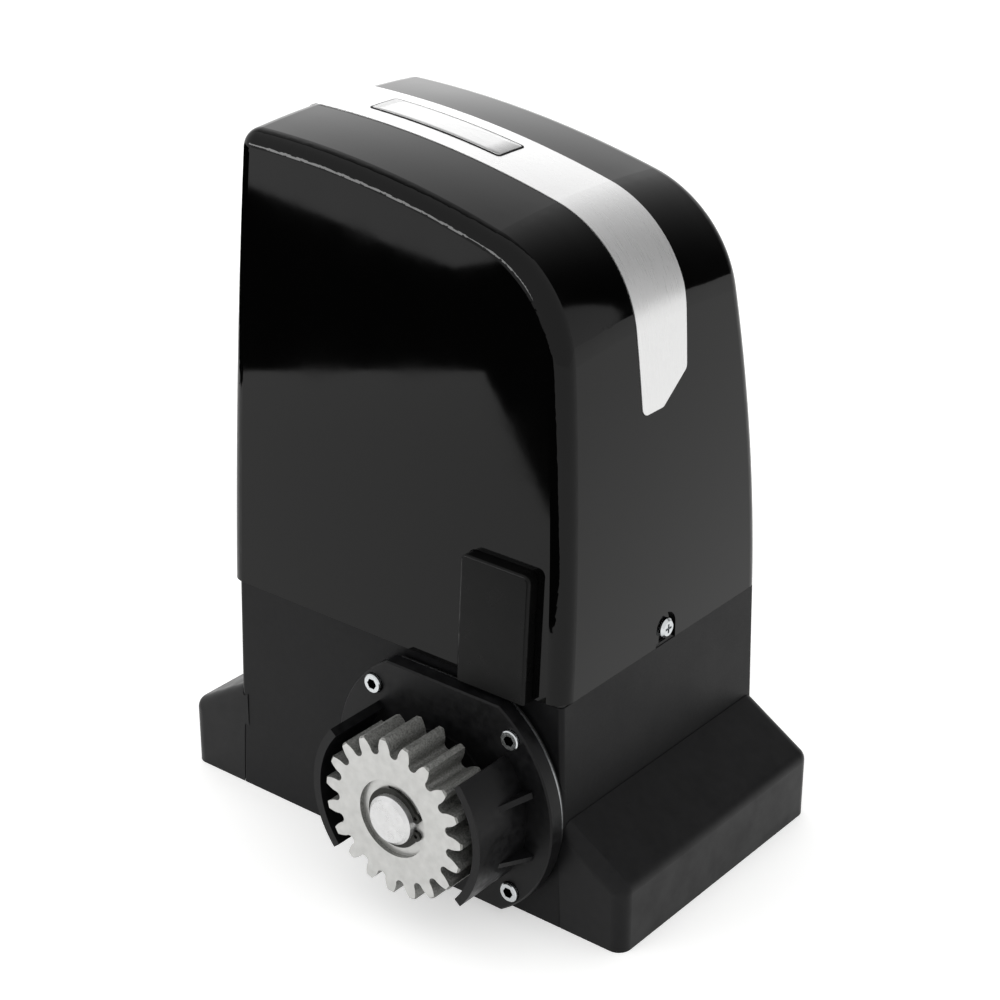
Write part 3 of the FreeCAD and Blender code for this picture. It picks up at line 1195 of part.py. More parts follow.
def component_tray():
    half_x, half_y = body_half(CHAMBER_TOP, -BODY_WALL - TRAY_GAP)
    face = rounded_rectangle(half_x, half_y, BODY_CORNER, CHAMBER_TOP)
    tray = face.extrude(V(0, 0, TRAY_THICKNESS))
    motor = rod_z(MOTOR_RADIUS + TRAY_MOTOR_GAP, CHAMBER_TOP - 1, TRAY_TOP + 1, WORM_X, WORM_Y)
    tray = tray.cut(join([motor] + [rod_z(TIE_EAR + TRAY_MOTOR_GAP, CHAMBER_TOP - 1,
                                          TRAY_TOP + 1, x, y) for x, y in tie_places()]))
    tray = tray.cut(box(SENSOR_LEFT, SENSOR_RIGHT, BODY_FRONT, BODY_FRONT + 4 * BODY_WALL,
                        CHAMBER_TOP - 1, TRAY_TOP + 1))
    for side in (-1, 1):
        lug = cover_end_x(side, COVER_WALL + COVER_GAP)
        ends = sorted((lug, lug - side * (LUG_THICKNESS + TRAY_GAP)))
        tray = tray.cut(box(ends[0], ends[1], -LUG_WIDTH / 2 - TRAY_GAP,
                            LUG_WIDTH / 2 + TRAY_GAP, CHAMBER_TOP - 1, TRAY_TOP + 1))
    return tray


def board_bracket():
    plate = box(BRACKET_X, BRACKET_X + BRACKET_THICKNESS, BOARD_FRONT_Y, BOARD_REAR_Y, TRAY_TOP,
                BOARD_TOP_Z)
    foot = box(BRACKET_X, BRACKET_X + BRACKET_FOOT,
               BOARD_FRONT_Y, BOARD_REAR_Y, TRAY_TOP, TRAY_TOP + BRACKET_THICKNESS)
    screw_room = rod_x(COVER_SCREW_RADIUS + BRACKET_SCREW_GAP, BRACKET_X - 1,
                       BRACKET_X + BRACKET_THICKNESS + 1, 0, COVER_SCREW_Z)
    return join([plate, foot]).cut(screw_room)


def board_face_x():
    return BRACKET_X + BRACKET_THICKNESS + STANDOFF_HEIGHT


def board_standoffs():
    x0 = BRACKET_X + BRACKET_THICKNESS
    return group([rod_x(STANDOFF_RADIUS, x0, x0 + STANDOFF_HEIGHT, y, z)
                  for y in (BOARD_FRONT_Y + STANDOFF_INSET, BOARD_REAR_Y - STANDOFF_INSET)
                  for z in (BOARD_LOW_Z + STANDOFF_INSET, BOARD_TOP_Z - STANDOFF_INSET)])


def control_board():
    x0 = board_face_x()
    return box(x0, x0 + BOARD_THICKNESS, BOARD_FRONT_Y, BOARD_REAR_Y, BOARD_LOW_Z, BOARD_TOP_Z)


def relays():
    x0 = board_face_x() + BOARD_THICKNESS
    height, width, length = RELAY_SIZE
    first = BOARD_FRONT_Y + STANDOFF_INSET
    step = width + RELAY_GAP
    count = int((BOARD_REAR_Y - STANDOFF_INSET + RELAY_GAP - first) / step)
    low = (BOARD_LOW_Z + BOARD_TOP_Z) / 2
    blocks = []
    for n in range(count):
        block = box(x0, x0 + height, first + n * step, first + n * step + width, low,
                    low + length)
        blocks.append(round_edges(block, 1.0, lambda b: b.XMin > x0 + height - 1e-3))
    return group(blocks)


def terminal_ways():
    """Ways in each of the two blocks that share the board's width."""
    return int((BOARD_REAR_Y - BOARD_FRONT_Y - TERMINAL_GAP) / 2 / TERMINAL_PITCH)


def terminal_block(y0):
    x0 = board_face_x() + BOARD_THICKNESS
    z0 = BOARD_LOW_Z + 3
    width = terminal_ways() * TERMINAL_PITCH
    block = box(x0, x0 + TERMINAL_DEPTH, y0, y0 + width, z0, z0 + TERMINAL_HEIGHT)
    for n in range(terminal_ways()):
        middle = y0 + (n + 0.5) * TERMINAL_PITCH
        mouth = TERMINAL_PITCH * 0.35
        block = block.cut(box(x0 + 3, x0 + 3 + 2 * mouth, middle - mouth, middle + mouth,
                              z0 - 1, z0 + 5))
        block = block.cut(rod_x(mouth, x0 + TERMINAL_DEPTH - 1.5, x0 + TERMINAL_DEPTH + 1,
                                middle, z0 + 0.7 * TERMINAL_HEIGHT))
    return block


def terminal_blocks():
    width = terminal_ways() * TERMINAL_PITCH
    first = (BOARD_FRONT_Y + BOARD_REAR_Y - TERMINAL_GAP) / 2 - width
    return group([terminal_block(first), terminal_block(first + width + TERMINAL_GAP)])


def heat_sink():
    x0 = board_face_x() + BOARD_THICKNESS
    height, width, length = HEATSINK_SIZE
    y0 = (BOARD_FRONT_Y + BOARD_REAR_Y - width) / 2
    z0 = BOARD_TOP_Z - length - STANDOFF_INSET
    sink = box(x0, x0 + height, y0, y0 + width, z0, z0 + length)
    pitch = width / (2 * HEATSINK_FINS + 1)
    for n in range(HEATSINK_FINS):
        y = y0 + (2 * n + 1) * pitch
        sink = sink.cut(box(x0 + 3, x0 + height + 1, y, y + pitch, z0 - 1, z0 + length + 1))
    return sink


def transformer_box(half_x, half_y, z0, z1):
    return box(TRANSFORMER_X - half_x, TRANSFORMER_X + half_x, TRANSFORMER_Y - half_y,
               TRANSFORMER_Y + half_y, z0, z1)


def transformer_core():
    half_x, half_y = TRANSFORMER_STACK / 2, TRANSFORMER_WIDTH / 2
    low, high = TRAY_TOP, TRAY_TOP + TRANSFORMER_HEIGHT
    core = transformer_box(half_x, half_y, low, high)
    windows = transformer_box(half_x + 1, half_y - TRANSFORMER_LEG, low + TRANSFORMER_LEG,
                              high - TRANSFORMER_LEG)
    middle_leg = transformer_box(half_x, TRANSFORMER_LEG, low, high)
    return join([core.cut(windows), middle_leg])


def transformer_coil():
    half_x = TRANSFORMER_STACK / 2
    low = TRAY_TOP + TRANSFORMER_LEG + COVER_GAP
    high = TRAY_TOP + TRANSFORMER_HEIGHT - TRANSFORMER_LEG - COVER_GAP
    outer = transformer_box(half_x + TRANSFORMER_COIL,
                            TRANSFORMER_WIDTH / 2 - TRANSFORMER_LEG - COVER_GAP, low, high)
    outer = round_edges(outer, TRANSFORMER_COIL / 2, upright)
    inner = transformer_box(half_x + SKIN_GAP, TRANSFORMER_LEG + SKIN_GAP, low - 1, high + 1)
    return outer.cut(inner)


def capacitor():
    can = rod_z(CAPACITOR_RADIUS, TRAY_TOP, TRAY_TOP + CAPACITOR_HEIGHT, CAPACITOR_X, CAPACITOR_Y)
    return can.makeChamfer(2.0, [e for e in can.Edges
                                 if e.BoundBox.ZMin > TRAY_TOP + CAPACITOR_HEIGHT - 1e-3])


def capacitor_clip():
    inner = CAPACITOR_RADIUS + SKIN_GAP
    outer = inner + CLIP_THICKNESS
    ring = tube_z(outer, inner, TRAY_TOP, TRAY_TOP + CLIP_HEIGHT, CAPACITOR_X, CAPACITOR_Y)
    tab = box(CAPACITOR_X - outer - 8, CAPACITOR_X - inner, CAPACITOR_Y - 5, CAPACITOR_Y + 5,
              TRAY_TOP, TRAY_TOP + CLIP_THICKNESS)
    return join([ring, tab])


def cable_grommet():
    neck = CABLE_HOLE_RADIUS - SEAT_FIT
    body = rod_z(neck, 0, FLOOR_THICKNESS, CABLE_X, CABLE_Y)
    lip = rod_z(CABLE_HOLE_RADIUS + GROMMET_LIP, FLOOR_THICKNESS,
                FLOOR_THICKNESS + GROMMET_LIP_HEIGHT, CABLE_X, CABLE_Y)
    bore = rod_z(CABLE_BORE_RADIUS, -1, FLOOR_THICKNESS + GROMMET_LIP_HEIGHT + 1, CABLE_X, CABLE_Y)
    return join([body, lip]).cut(bore)


# ------------------------------------------------------------------ manual release

def release_lever():
    """Flush lever in the rear wall; its hub turns about an upright pin."""
    low, high = LEVER_LOW_Z, LEVER_LOW_Z + LEVER_HEIGHT
    plate = box(PINION_X - LEVER_LENGTH, PINION_X, LEVER_BACK_Y, LEVER_FACE_Y, low, high)
    plate = round_edges(plate, 4.0, lambda b: b.XMax < PINION_X - LEVER_LENGTH + 1e-3
                        and b.ZLength < 1e-3)
    hub = rod_z(HINGE_SETBACK, low, high, PINION_X, HINGE_Y)
    lever = join([plate, hub])
    half_gap = YOKE_GAP / 2
    yoke = box(PINION_X - HINGE_SETBACK - 1, PINION_X + HINGE_SETBACK + 1,
               HINGE_Y - HINGE_SETBACK - 1, LEVER_BACK_Y, PINION_Z - half_gap,
               PINION_Z + half_gap)
    lever = lever.cut(yoke)
    lever = lever.cut(rod_z(HINGE_PIN_RADIUS + SEAT_FIT, low - 1, high + 1, PINION_X, HINGE_Y))
    lever = lever.cut(rod_y(LOCK_RADIUS + RUNNING_FIT, LEVER_BACK_Y - 1, LEVER_FACE_Y + 1,
                            LOCK_X, PINION_Z))
    scoop = rod_z(GRIP_RADIUS, low + 5, high - 5, PINION_X - LEVER_LENGTH / 2,
                  LEVER_FACE_Y + GRIP_RADIUS - GRIP_DEPTH)
    return lever.cut(scoop)


def release_spindle():
    reach = LEVER_HEIGHT / 2 + RELEASE_WALL
    return rod_z(HINGE_PIN_RADIUS, PINION_Z - reach + 2, PINION_Z + reach, PINION_X, HINGE_Y)


def release_cam():
    """Eccentric on the spindle; a quarter turn of the lever lets the plunger back."""
    half = CAM_WIDTH / 2
    cam = rod_z(CAM_RADIUS, PINION_Z - half, PINION_Z + half, PINION_X - CAM_STEP,
                HINGE_Y - CAM_STEP)
    return cam.cut(rod_z(HINGE_PIN_RADIUS + SEAT_FIT, PINION_Z - half - 1, PINION_Z + half + 1,
                         PINION_X, HINGE_Y))


def release_plunger():
    return rod_y(PLUNGER_RADIUS, SHAFT_END_Y + MOVING_GAP, CAM_REST_Y - MOVING_GAP)


def lock_barrel():
    tail_y = LEVER_BACK_Y - LOCK_TAIL
    face_y = LEVER_FACE_Y + LOCK_PROUD
    barrel = rod_y(LOCK_RADIUS, tail_y, face_y, LOCK_X, PINION_Z)
    latch = box(LOCK_X - LATCH_WIDTH / 2, LOCK_X + LATCH_WIDTH / 2, tail_y - LATCH_THICKNESS,
                tail_y + 0.5, PINION_Z - LATCH_LENGTH / 2, PINION_Z + LATCH_LENGTH / 2)
    width, height, depth = KEY_SLOT
    slot = box(LOCK_X - width / 2, LOCK_X + width / 2, face_y - depth, face_y + 1,
               PINION_Z - height / 2, PINION_Z + height / 2)
    return join([barrel, latch]).cut(slot)


# ------------------------------------------------------------------ write every node

def nodes():
    right_foot = foot_cover()
    return {
        "base_casting": base_casting(),
        "right_foot_cover": right_foot,
        "left_foot_cover": mirrored_x(right_foot),
        "top_cover": top_cover(),
        "trim_strip": trim_strip(),
        "cover_seal": cover_seal(),
        "cover_screws": group([cover_screw(-1), cover_screw(1)]),
        "sensor_housing": sensor_housing(),
        "sensor_board": sensor_board(),
        "pinion_guard": pinion_guard(),
        "flange_screws": flange_screws(),
        "gearbox_cover": gearbox_cover(),
        "gearbox_gasket": gearbox_gasket(),
        "oil_seal": oil_seal(),
        "output_bearings": output_bearings(),
        "output_shaft": output_shaft(),
        "pinion_key": key_cutter(0),
        "circlip": circlip(),
        "drive_pinion": drive_pinion(),
        "worm_wheel": worm_wheel(),
        "wheel_key": wheel_key(0),
        "worm_shaft": worm_shaft(),
        "rotor_core": rotor_core(),
        "cooling_fan": cooling_fan(),
        "worm_bearings": worm_bearings(),
        "lower_end_shield": lower_end_shield(),
        "upper_end_shield": upper_end_shield(),
        "stator_core": stator_core(),
        "stator_windings": stator_windings(),
        "tie_bolts": tie_bolts(),
        "component_tray": component_tray(),
        "board_bracket": board_bracket(),
        "board_standoffs": board_standoffs(),
        "control_board": control_board(),
        "relays": relays(),
        "terminal_blocks": terminal_blocks(),
        "heat_sink": heat_sink(),
        "transformer_core": transformer_core(),
        "transformer_coil": transformer_coil(),
        "capacitor": capacitor(),
        "capacitor_clip": capacitor_clip(),
        "cable_grommet": cable_grommet(),
        "release_lever": release_lever(),
        "release_spindle": release_spindle(),
        "release_cam": release_cam(),
        "release_plunger": release_plunger(),
        "lock_barrel": lock_barrel(),
    }


def main():
    os.makedirs("parts", exist_ok=True)
    for name, shape in nodes().items():
        if not shape.isValid():
            print("not valid:", name)
        shape.exportStep("parts/" + name + ".step")


main()
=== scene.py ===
"""Looks of a sliding gate motor: a glossy cover on a satin casting, with a guarded pinion."""
import math

import bpy
import numpy as np
from bpy.props import FloatProperty, PointerProperty, StringProperty
from mathutils import Euler, Matrix, Vector


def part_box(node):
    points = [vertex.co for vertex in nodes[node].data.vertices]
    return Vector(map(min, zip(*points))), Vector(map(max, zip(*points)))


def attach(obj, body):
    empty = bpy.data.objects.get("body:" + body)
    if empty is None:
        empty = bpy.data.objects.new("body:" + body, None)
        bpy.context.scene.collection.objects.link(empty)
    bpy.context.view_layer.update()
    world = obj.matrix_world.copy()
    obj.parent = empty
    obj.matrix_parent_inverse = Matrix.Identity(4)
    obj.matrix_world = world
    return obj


bl_info = {
    "name": "Sliding gate motor looks",
    "version": (1, 0, 0),
    "blender": (4, 5, 0),
    "location": "View3D > Sidebar > Gate motor",
    "description": "Dresses the packed gate motor with its finishes, its blank plate and its stage",
    "category": "Object",
}

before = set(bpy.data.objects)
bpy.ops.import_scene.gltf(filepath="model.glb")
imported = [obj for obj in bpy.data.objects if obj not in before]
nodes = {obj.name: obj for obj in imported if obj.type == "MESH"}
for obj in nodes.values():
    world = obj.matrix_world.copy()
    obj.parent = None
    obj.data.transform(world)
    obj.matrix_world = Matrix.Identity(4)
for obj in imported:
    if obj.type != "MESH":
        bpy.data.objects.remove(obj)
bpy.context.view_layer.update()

MM = 0.001

# The pinion turns about this line, and its screws sit round it.
PINION_AXIS = [(low + high) / 2 for low, high in zip(*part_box("output_shaft"))]
SCREW_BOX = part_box("flange_screws")
SCREW_HEAD_RADIUS = 5.0 * MM
# Within this radius and behind this depth, the sockets round the pinion are coloured dark grey as
# painted shade.
SOCKET_RADIUS = 3.0 * MM
SOCKET_START = 0.3 * MM         # behind the front of the screw heads

# The blank plate lies on the trim.
TRIM_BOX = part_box("trim_strip")
PLATE_STEPS = 240
PLATE_RINGS = (0.25, 0.5, 0.75, 1.0)
CORNER_STEPS = 9
BORDER_CORNER, BORDER_BEVEL = 2.0 * MM, 0.1 * MM
BORDER_SINK = 0.05 * MM         # into the trim
BORDER_SHARE = 0.6              # of the plate's height
FACE_CORNER, FACE_BEVEL = 1.4 * MM, 0.12 * MM

# Camera in metres and degrees.
CAMERA_PLACE = (0.67413, -0.84265, 0.68188)
CAMERA_DOWN, CAMERA_TURN, CAMERA_ROLL = 25.59055, 38.56966, 0.17854
SENSOR_WIDTH = 36.0
CLIP_END = 50.0

# Stage in metres. A wall or board has its own level axes: away from the motor, and sideways.
FLOOR_REACH = 6.0
REAR_AXES = ((-0.624, 0.782), (0.782, 0.624))
REAR_DISTANCE = 1.5
REAR_CORNERS = ((-1.6, 0.02), (9.0, 0.02), (9.0, 4.6), (-1.6, 4.6))
REAR_CENTRE = (0.0, 0.7)        # where the light on it is fullest
REAR_FADE = 1.4
FRONT_AXES = ((-0.58, -0.815), (-0.815, 0.58))
BOARD_DISTANCE = 1.15
BOARD_CORNERS = ((-0.059, 0.125), (-0.02, 0.108), (0.041, 0.122), (0.12, 0.146),
                 (0.185, 0.165), (0.33, 0.2), (0.33, 0.34), (-0.01, 0.22), (-0.04, 0.17))

# Black cloth on the floor, where the cover's front face mirrors it.
FLAG_RISE = 0.001
FLAG_LEFT = ((-0.601, -0.94), (-0.666, -0.687), (-0.997, 0.6), (-5.0, 0.6), (-5.0, -5.0),
             (-0.601, -5.0))
FLAG_FRONT = ((-0.601, -0.94), (-0.601, -5.0), (0.35, -5.0), (0.35, -0.6), (-0.1, -0.41))

# Softboxes: place, point they look at, width and height.
FRONT_SOFTBOX = ((-0.95, -1.38, 0.50), (0.0, 0.0, 0.3), 1.3, 0.15)
TOP_SOFTBOX = ((-0.5, 0.5, 1.8), (0.0, 0.0, 0.1), 1.4, 1.4)


# ------------------------------------------------------------------ colours and nodes

def linear(hex_colour):
    """sRGB hex text to linear RGBA: c/12.92 below 0.04045, else ((c+0.055)/1.055)^2.4."""
    channels = [int(hex_colour[i:i + 2], 16) / 255 for i in (1, 3, 5)]
    return [c / 12.92 if c <= 0.04045 else ((c + 0.055) / 1.055) ** 2.4 for c in channels] + [1.0]


def add(tree, kind, links=None, **settings):
    """Adds one node. A setting names a property, or else an input socket; links fill inputs."""
    node = tree.nodes.new(kind)
    names = list(settings)
    for name in names:
        if hasattr(node, name):
            setattr(node, name, settings.pop(name))
    for name, value in settings.items():
        node.inputs[name.replace("_", " ")].default_value = value
    for name, source in (links or {}).items():
        tree.links.new(source, node.inputs[name])
    return node


def new_material(name, colour, roughness, metallic=0.0, ior=1.5):
    """A Principled shader on the output, with the Object coordinates that its patterns read."""
    material = bpy.data.materials.new(name)
    material.use_nodes = True
    tree = material.node_tree
    tree.nodes.clear()
    shader = add(tree, "ShaderNodeBsdfPrincipled", Base_Color=linear(colour), Metallic=metallic,
                 Roughness=roughness, IOR=ior)
    add(tree, "ShaderNodeOutputMaterial", {"Surface": shader.outputs["BSDF"]})
    place = add(tree, "ShaderNodeTexCoord").outputs["Object"]
    return material, tree, shader, place


def grain(tree, place, size, detail=2.0):
    """Noise with lumps of about the given size in metres, as a value from 0 to 1."""
    return add(tree, "ShaderNodeTexNoise", {"Vector": place}, Scale=1 / size,
               Detail=detail).outputs["Fac"]


def spread(tree, value, low, high, start=0.3, end=0.7):
    """Maps a value from start..end to low..high."""
    return add(tree, "ShaderNodeMapRange", {"Value": value}, From_Min=start, From_Max=end,
               To_Min=low, To_Max=high).outputs["Result"]


def compute(tree, operation, first, second):
    """One sum of two values, each a socket or a number."""
    node = add(tree, "ShaderNodeMath", operation=operation)
    for socket, value in zip(node.inputs, (first, second)):
        if isinstance(value, (int, float)):
            socket.default_value = value
        else:
            tree.links.new(value, socket)
    return node.outputs[0]


def tint(tree, value, first, second):
    """First colour where the value is 0, second where it is 1."""
    ramp = add(tree, "ShaderNodeValToRGB", {"Fac": value})
    ramp.color_ramp.elements[0].color = linear(first)
    ramp.color_ramp.elements[1].color = linear(second)
    return ramp.outputs["Color"]


def bump(tree, shader, height, step, strength=1.0):
    """Raises the surface by a height map whose full step is given in metres."""
    node = add(tree, "ShaderNodeBump", {"Height": height}, Strength=strength, Distance=step)
    tree.links.new(node.outputs["Normal"], shader.inputs["Normal"])


def dress(material, *names):
    """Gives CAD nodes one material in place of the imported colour."""
    for name in names:
        mesh = nodes[name].data
        mesh.materials.clear()
        mesh.materials.append(material)


# ------------------------------------------------------------------ finishes that show

# The black plastics, the powder coat and the ink are given a lower IOR than the real ones,
# which lie near 1.5, so that their faces stay dark among the white surroundings.

def polished_abs():
    """ABS, injection moulded in a polished tool: deep black, sharp reflections, a faint
    ripple left by the flow of the plastic, and a thin haze of dust that breaks the gloss."""
    material, tree, shader, place = new_material("abs_polished_moulding", "#030303", 0.08,
                                                 ior=1.28)
    haze = grain(tree, place, 35 * MM, 4.0)
    tree.links.new(spread(tree, haze, 0.03, 0.07), shader.inputs["Roughness"])
    ripple = grain(tree, place, 9 * MM, 1.0)
    bump(tree, shader, ripple, 0.004 * MM)
    return material


def satin_abs():
    """ABS, injection moulded in a blasted tool: black with a soft sheen that blurs what it
    mirrors, and a faint cloudiness across its faces."""
    material, tree, shader, place = new_material("abs_satin_moulding", "#050505", 0.3, ior=1.24)
    cloud = grain(tree, place, 8 * MM, 3.0)
    tree.links.new(spread(tree, cloud, 0.26, 0.34), shader.inputs["Roughness"])
    bump(tree, shader, grain(tree, place, 0.3 * MM), 0.004 * MM)
    return material


def satin_film():
    """Silver film on ABS, hot-stamped: a satin metal sheen with a fine grain along the strip.
    The real grain is 0.05 mm wide and is drawn 0.25 mm wide, so that it can show."""
    material, tree, shader, place = new_material("abs_silver_film_satin", "#dedede", 0.32, 0.75)
    stretched = add(tree, "ShaderNodeMapping", {"Vector": place}, Scale=(0.02, 1.0, 0.02))
    lines = grain(tree, stretched.outputs["Vector"], 0.25 * MM, 2.0)
    tree.links.new(spread(tree, lines, 0.27, 0.31), shader.inputs["Roughness"])
    tree.links.new(tint(tree, spread(tree, lines, 0, 1), "#dcdcdc", "#e2e2e2"),
                   shader.inputs["Base Color"])
    bump(tree, shader, lines, 0.001 * MM)
    return material


def plate_aluminium():
    """Anodised aluminium sheet, brushed and stamped: like the film, a little brighter."""
    material, tree, shader, place = new_material("aluminium_anodised_brushed", "#c4c4c4", 0.25,
                                                 1.0)
    stretched = add(tree, "ShaderNodeMapping", {"Vector": place}, Scale=(0.02, 1.0, 0.02))
    lines = grain(tree, stretched.outputs["Vector"], 0.2 * MM, 2.0)
    tree.links.new(spread(tree, lines, 0.2, 0.32), shader.inputs["Roughness"])
    bump(tree, shader, lines, 0.001 * MM)
    return material


def plate_ink():
    """Screen-printed black border line on the plate: flat and matt, a little uneven."""
    material, tree, shader, place = new_material("enamel_ink_printed", "#0c0c0c", 0.6, ior=1.2)
    tree.links.new(spread(tree, grain(tree, place, 0.5 * MM), 0.55, 0.7),
                   shader.inputs["Roughness"])
    return material


def powder_coat():
    """Die-cast aluminium, powder coated black: satin, with the fine orange peel of the coat,
    about 0.8 mm from lump to lump, and slow changes of gloss across the wide faces."""
    material, tree, shader, place = new_material("aluminium_diecast_powder_coated", "#121213",
                                                 0.42, ior=1.22)
    gloss = compute(tree, "ADD", spread(tree, grain(tree, place, 30 * MM, 3.0), 0.0, 0.07),
                    spread(tree, grain(tree, place, 0.8 * MM), 0.33, 0.41))
    tree.links.new(gloss, shader.inputs["Roughness"])
    tree.links.new(tint(tree, spread(tree, grain(tree, place, 3 * MM), 0, 1), "#0d0d0e",
                        "#111112"), shader.inputs["Base Color"])
    bump(tree, shader, grain(tree, place, 0.8 * MM, 3.0), 0.02 * MM, 0.7)
    return material


def spark_polypropylene():
    """Polypropylene moulded in a spark-eroded tool: an even grain of 0.4 mm pits, a low
    sheen, and a tone that varies a little at random."""
    material, tree, shader, place = new_material("polypropylene_spark_grain_moulding", "#101011",
                                                 0.4, ior=1.26)
    pits = add(tree, "ShaderNodeTexVoronoi", {"Vector": place}, Scale=1 / (0.6 * MM))
    tree.links.new(spread(tree, grain(tree, place, 12 * MM, 3.0), 0.33, 0.45),
                   shader.inputs["Roughness"])
    tree.links.new(tint(tree, spread(tree, grain(tree, place, 5 * MM), 0, 1), "#0e0e0f",
                        "#131314"), shader.inputs["Base Color"])
    bump(tree, shader, pits.outputs["Distance"], 0.015 * MM, 0.6)
    return material


def glass_filled_nylon():
    """Glass-filled nylon, moulded: black and satin, with the cloudy flow marks that the
    fibres leave on the surface, 2 to 6 mm long."""
    material, tree, shader, place = new_material("nylon_glass_filled_moulding", "#0e0e0f", 0.38,
                                                 ior=1.26)
    flow = grain(tree, place, 4 * MM, 5.0)
    tree.links.new(spread(tree, flow, 0.3, 0.5), shader.inputs["Roughness"])
    tree.links.new(tint(tree, spread(tree, flow, 0, 1), "#0c0c0d", "#131314"),
                   shader.inputs["Base Color"])
    bump(tree, shader, flow, 0.02 * MM, 0.6)
    return material


def about_pinion(tree, place):
    """Distance from the pinion's axis, which runs along Y."""
    apart = add(tree, "ShaderNodeVectorMath", {0: place}, operation="SUBTRACT")
    apart.inputs[1].default_value = (PINION_AXIS[0], 0.0, PINION_AXIS[2])
    flat = add(tree, "ShaderNodeVectorMath", {0: apart.outputs[0]}, operation="MULTIPLY")
    flat.inputs[1].default_value = (1.0, 0.0, 1.0)
    return add(tree, "ShaderNodeVectorMath", {0: flat.outputs[0]},
               operation="LENGTH").outputs["Value"]


def across_axis(tree):
    """1 on faces square to the pinion's axis, 0 on its flanks and bores."""
    normal = add(tree, "ShaderNodeTexCoord").outputs["Normal"]
    y = add(tree, "ShaderNodeSeparateXYZ", {"Vector": normal}).outputs["Y"]
    return spread(tree, compute(tree, "ABSOLUTE", y, 0.0), 0.0, 1.0, 0.85, 0.97)


def turning_marks(tree, place, pitch):
    """Rings round the axis, as a value from 0 to 1, one to each pitch."""
    turn = compute(tree, "MULTIPLY", about_pinion(tree, place), 2 * math.pi / pitch)
    return spread(tree, compute(tree, "SINE", turn, 0.0), 0.0, 1.0, -1.0, 1.0)


def pinion_steel():
    """Carbon steel gear blank: its ends are faced on a lathe, which leaves bright rings, and
    its flanks are hobbed and left rough, with grey scale and grit of about 0.6 mm."""
    material, tree, shader, place = new_material("steel_faced_and_hobbed", "#e0e0de", 0.3, 0.85)
    faced = across_axis(tree)
    grit = grain(tree, place, 0.9 * MM, 4.0)
    blotch = grain(tree, place, 5 * MM, 3.0)
    rings = turning_marks(tree, place, 0.5 * MM)
    rough = tint(tree, spread(tree, grit, 0, 1), "#6c6d6a", "#a6a6a3")
    bright = tint(tree, spread(tree, blotch, 0, 1), "#b8b8b6", "#c6c6c4")
    colour = add(tree, "ShaderNodeMix", {0: faced, 6: rough, 7: bright}, data_type="RGBA")
    tree.links.new(colour.outputs[2], shader.inputs["Base Color"])
    gloss = add(tree, "ShaderNodeMix", {0: faced, 2: spread(tree, grit, 0.45, 0.75),
                                        3: spread(tree, blotch, 0.28, 0.4)})
    tree.links.new(gloss.outputs[0], shader.inputs["Roughness"])
    height = add(tree, "ShaderNodeMix", {0: faced, 2: grit,
                                         3: compute(tree, "MULTIPLY", rings, 0.05)})
    bump(tree, shader, height.outputs[0], 0.12 * MM, 0.8)
    return material


def turned_steel():
    """Carbon steel turned on a lathe: bright, with rings 0.4 mm apart on its ends."""
    material, tree, shader, place = new_material("steel_turned", "#e6e6e6", 0.3, 0.8)
    blotch = grain(tree, place, 4 * MM, 3.0)
    tree.links.new(spread(tree, blotch, 0.24, 0.38), shader.inputs["Roughness"])
    tree.links.new(tint(tree, spread(tree, blotch, 0, 1), "#cccccc", "#d8d8d8"),
                   shader.inputs["Base Color"])
    rings = compute(tree, "MULTIPLY", turning_marks(tree, place, 0.4 * MM), across_axis(tree))
    bump(tree, shader, rings, 0.004 * MM)
    return material


def zinc_plate():
    """Steel screws, bright zinc plated: a mirror softened by the plating's fine crystals,
    with painted shade in the hexagon sockets of the four screws round the pinion, which are
    coloured dark grey."""
    material, tree, shader, place = new_material("steel_bright_zinc_plated", "#c9ccce", 0.22, 1.0)
    half = [(high - low) / 2 for low, high in zip(*SCREW_BOX)]
    apart = add(tree, "ShaderNodeVectorMath", {0: place}, operation="SUBTRACT")
    apart.inputs[1].default_value = (PINION_AXIS[0], 0.0, PINION_AXIS[2])
    folded = add(tree, "ShaderNodeVectorMath", {0: apart.outputs[0]}, operation="ABSOLUTE")
    centred = add(tree, "ShaderNodeVectorMath", {0: folded.outputs[0]}, operation="SUBTRACT")
    centred.inputs[1].default_value = (half[0] - SCREW_HEAD_RADIUS, 0.0,
                                       half[2] - SCREW_HEAD_RADIUS)
    flat = add(tree, "ShaderNodeVectorMath", {0: centred.outputs[0]}, operation="MULTIPLY")
    flat.inputs[1].default_value = (1.0, 0.0, 1.0)
    reach = add(tree, "ShaderNodeVectorMath", {0: flat.outputs[0]}, operation="LENGTH")
    depth = add(tree, "ShaderNodeSeparateXYZ", {"Vector": place}).outputs["Y"]
    # Painted shade: the socket's walls and floor, behind the heads' fronts, are coloured dark grey.
    inside = compute(tree, "MULTIPLY",
                     compute(tree, "LESS_THAN", reach.outputs["Value"], SOCKET_RADIUS),
                     compute(tree, "GREATER_THAN", depth, SCREW_BOX[0][1] + SOCKET_START))
    tree.links.new(tint(tree, inside, "#c9ccce", "#1b1b1b"), shader.inputs["Base Color"])
    crystals = grain(tree, place, 1.2 * MM, 3.0)
    tree.links.new(spread(tree, crystals, 0.16, 0.28), shader.inputs["Roughness"])
    bump(tree, shader, crystals, 0.003 * MM)
    return material


def spring_steel():
    """Spring steel, phosphated and oiled: almost black, with a dull metal sheen."""
    material, tree, shader, place = new_material("spring_steel_phosphated", "#343432", 0.4, 1.0)
    tree.links.new(spread(tree, grain(tree, place, 1.5 * MM, 3.0), 0.32, 0.5),
                   shader.inputs["Roughness"])
    return material


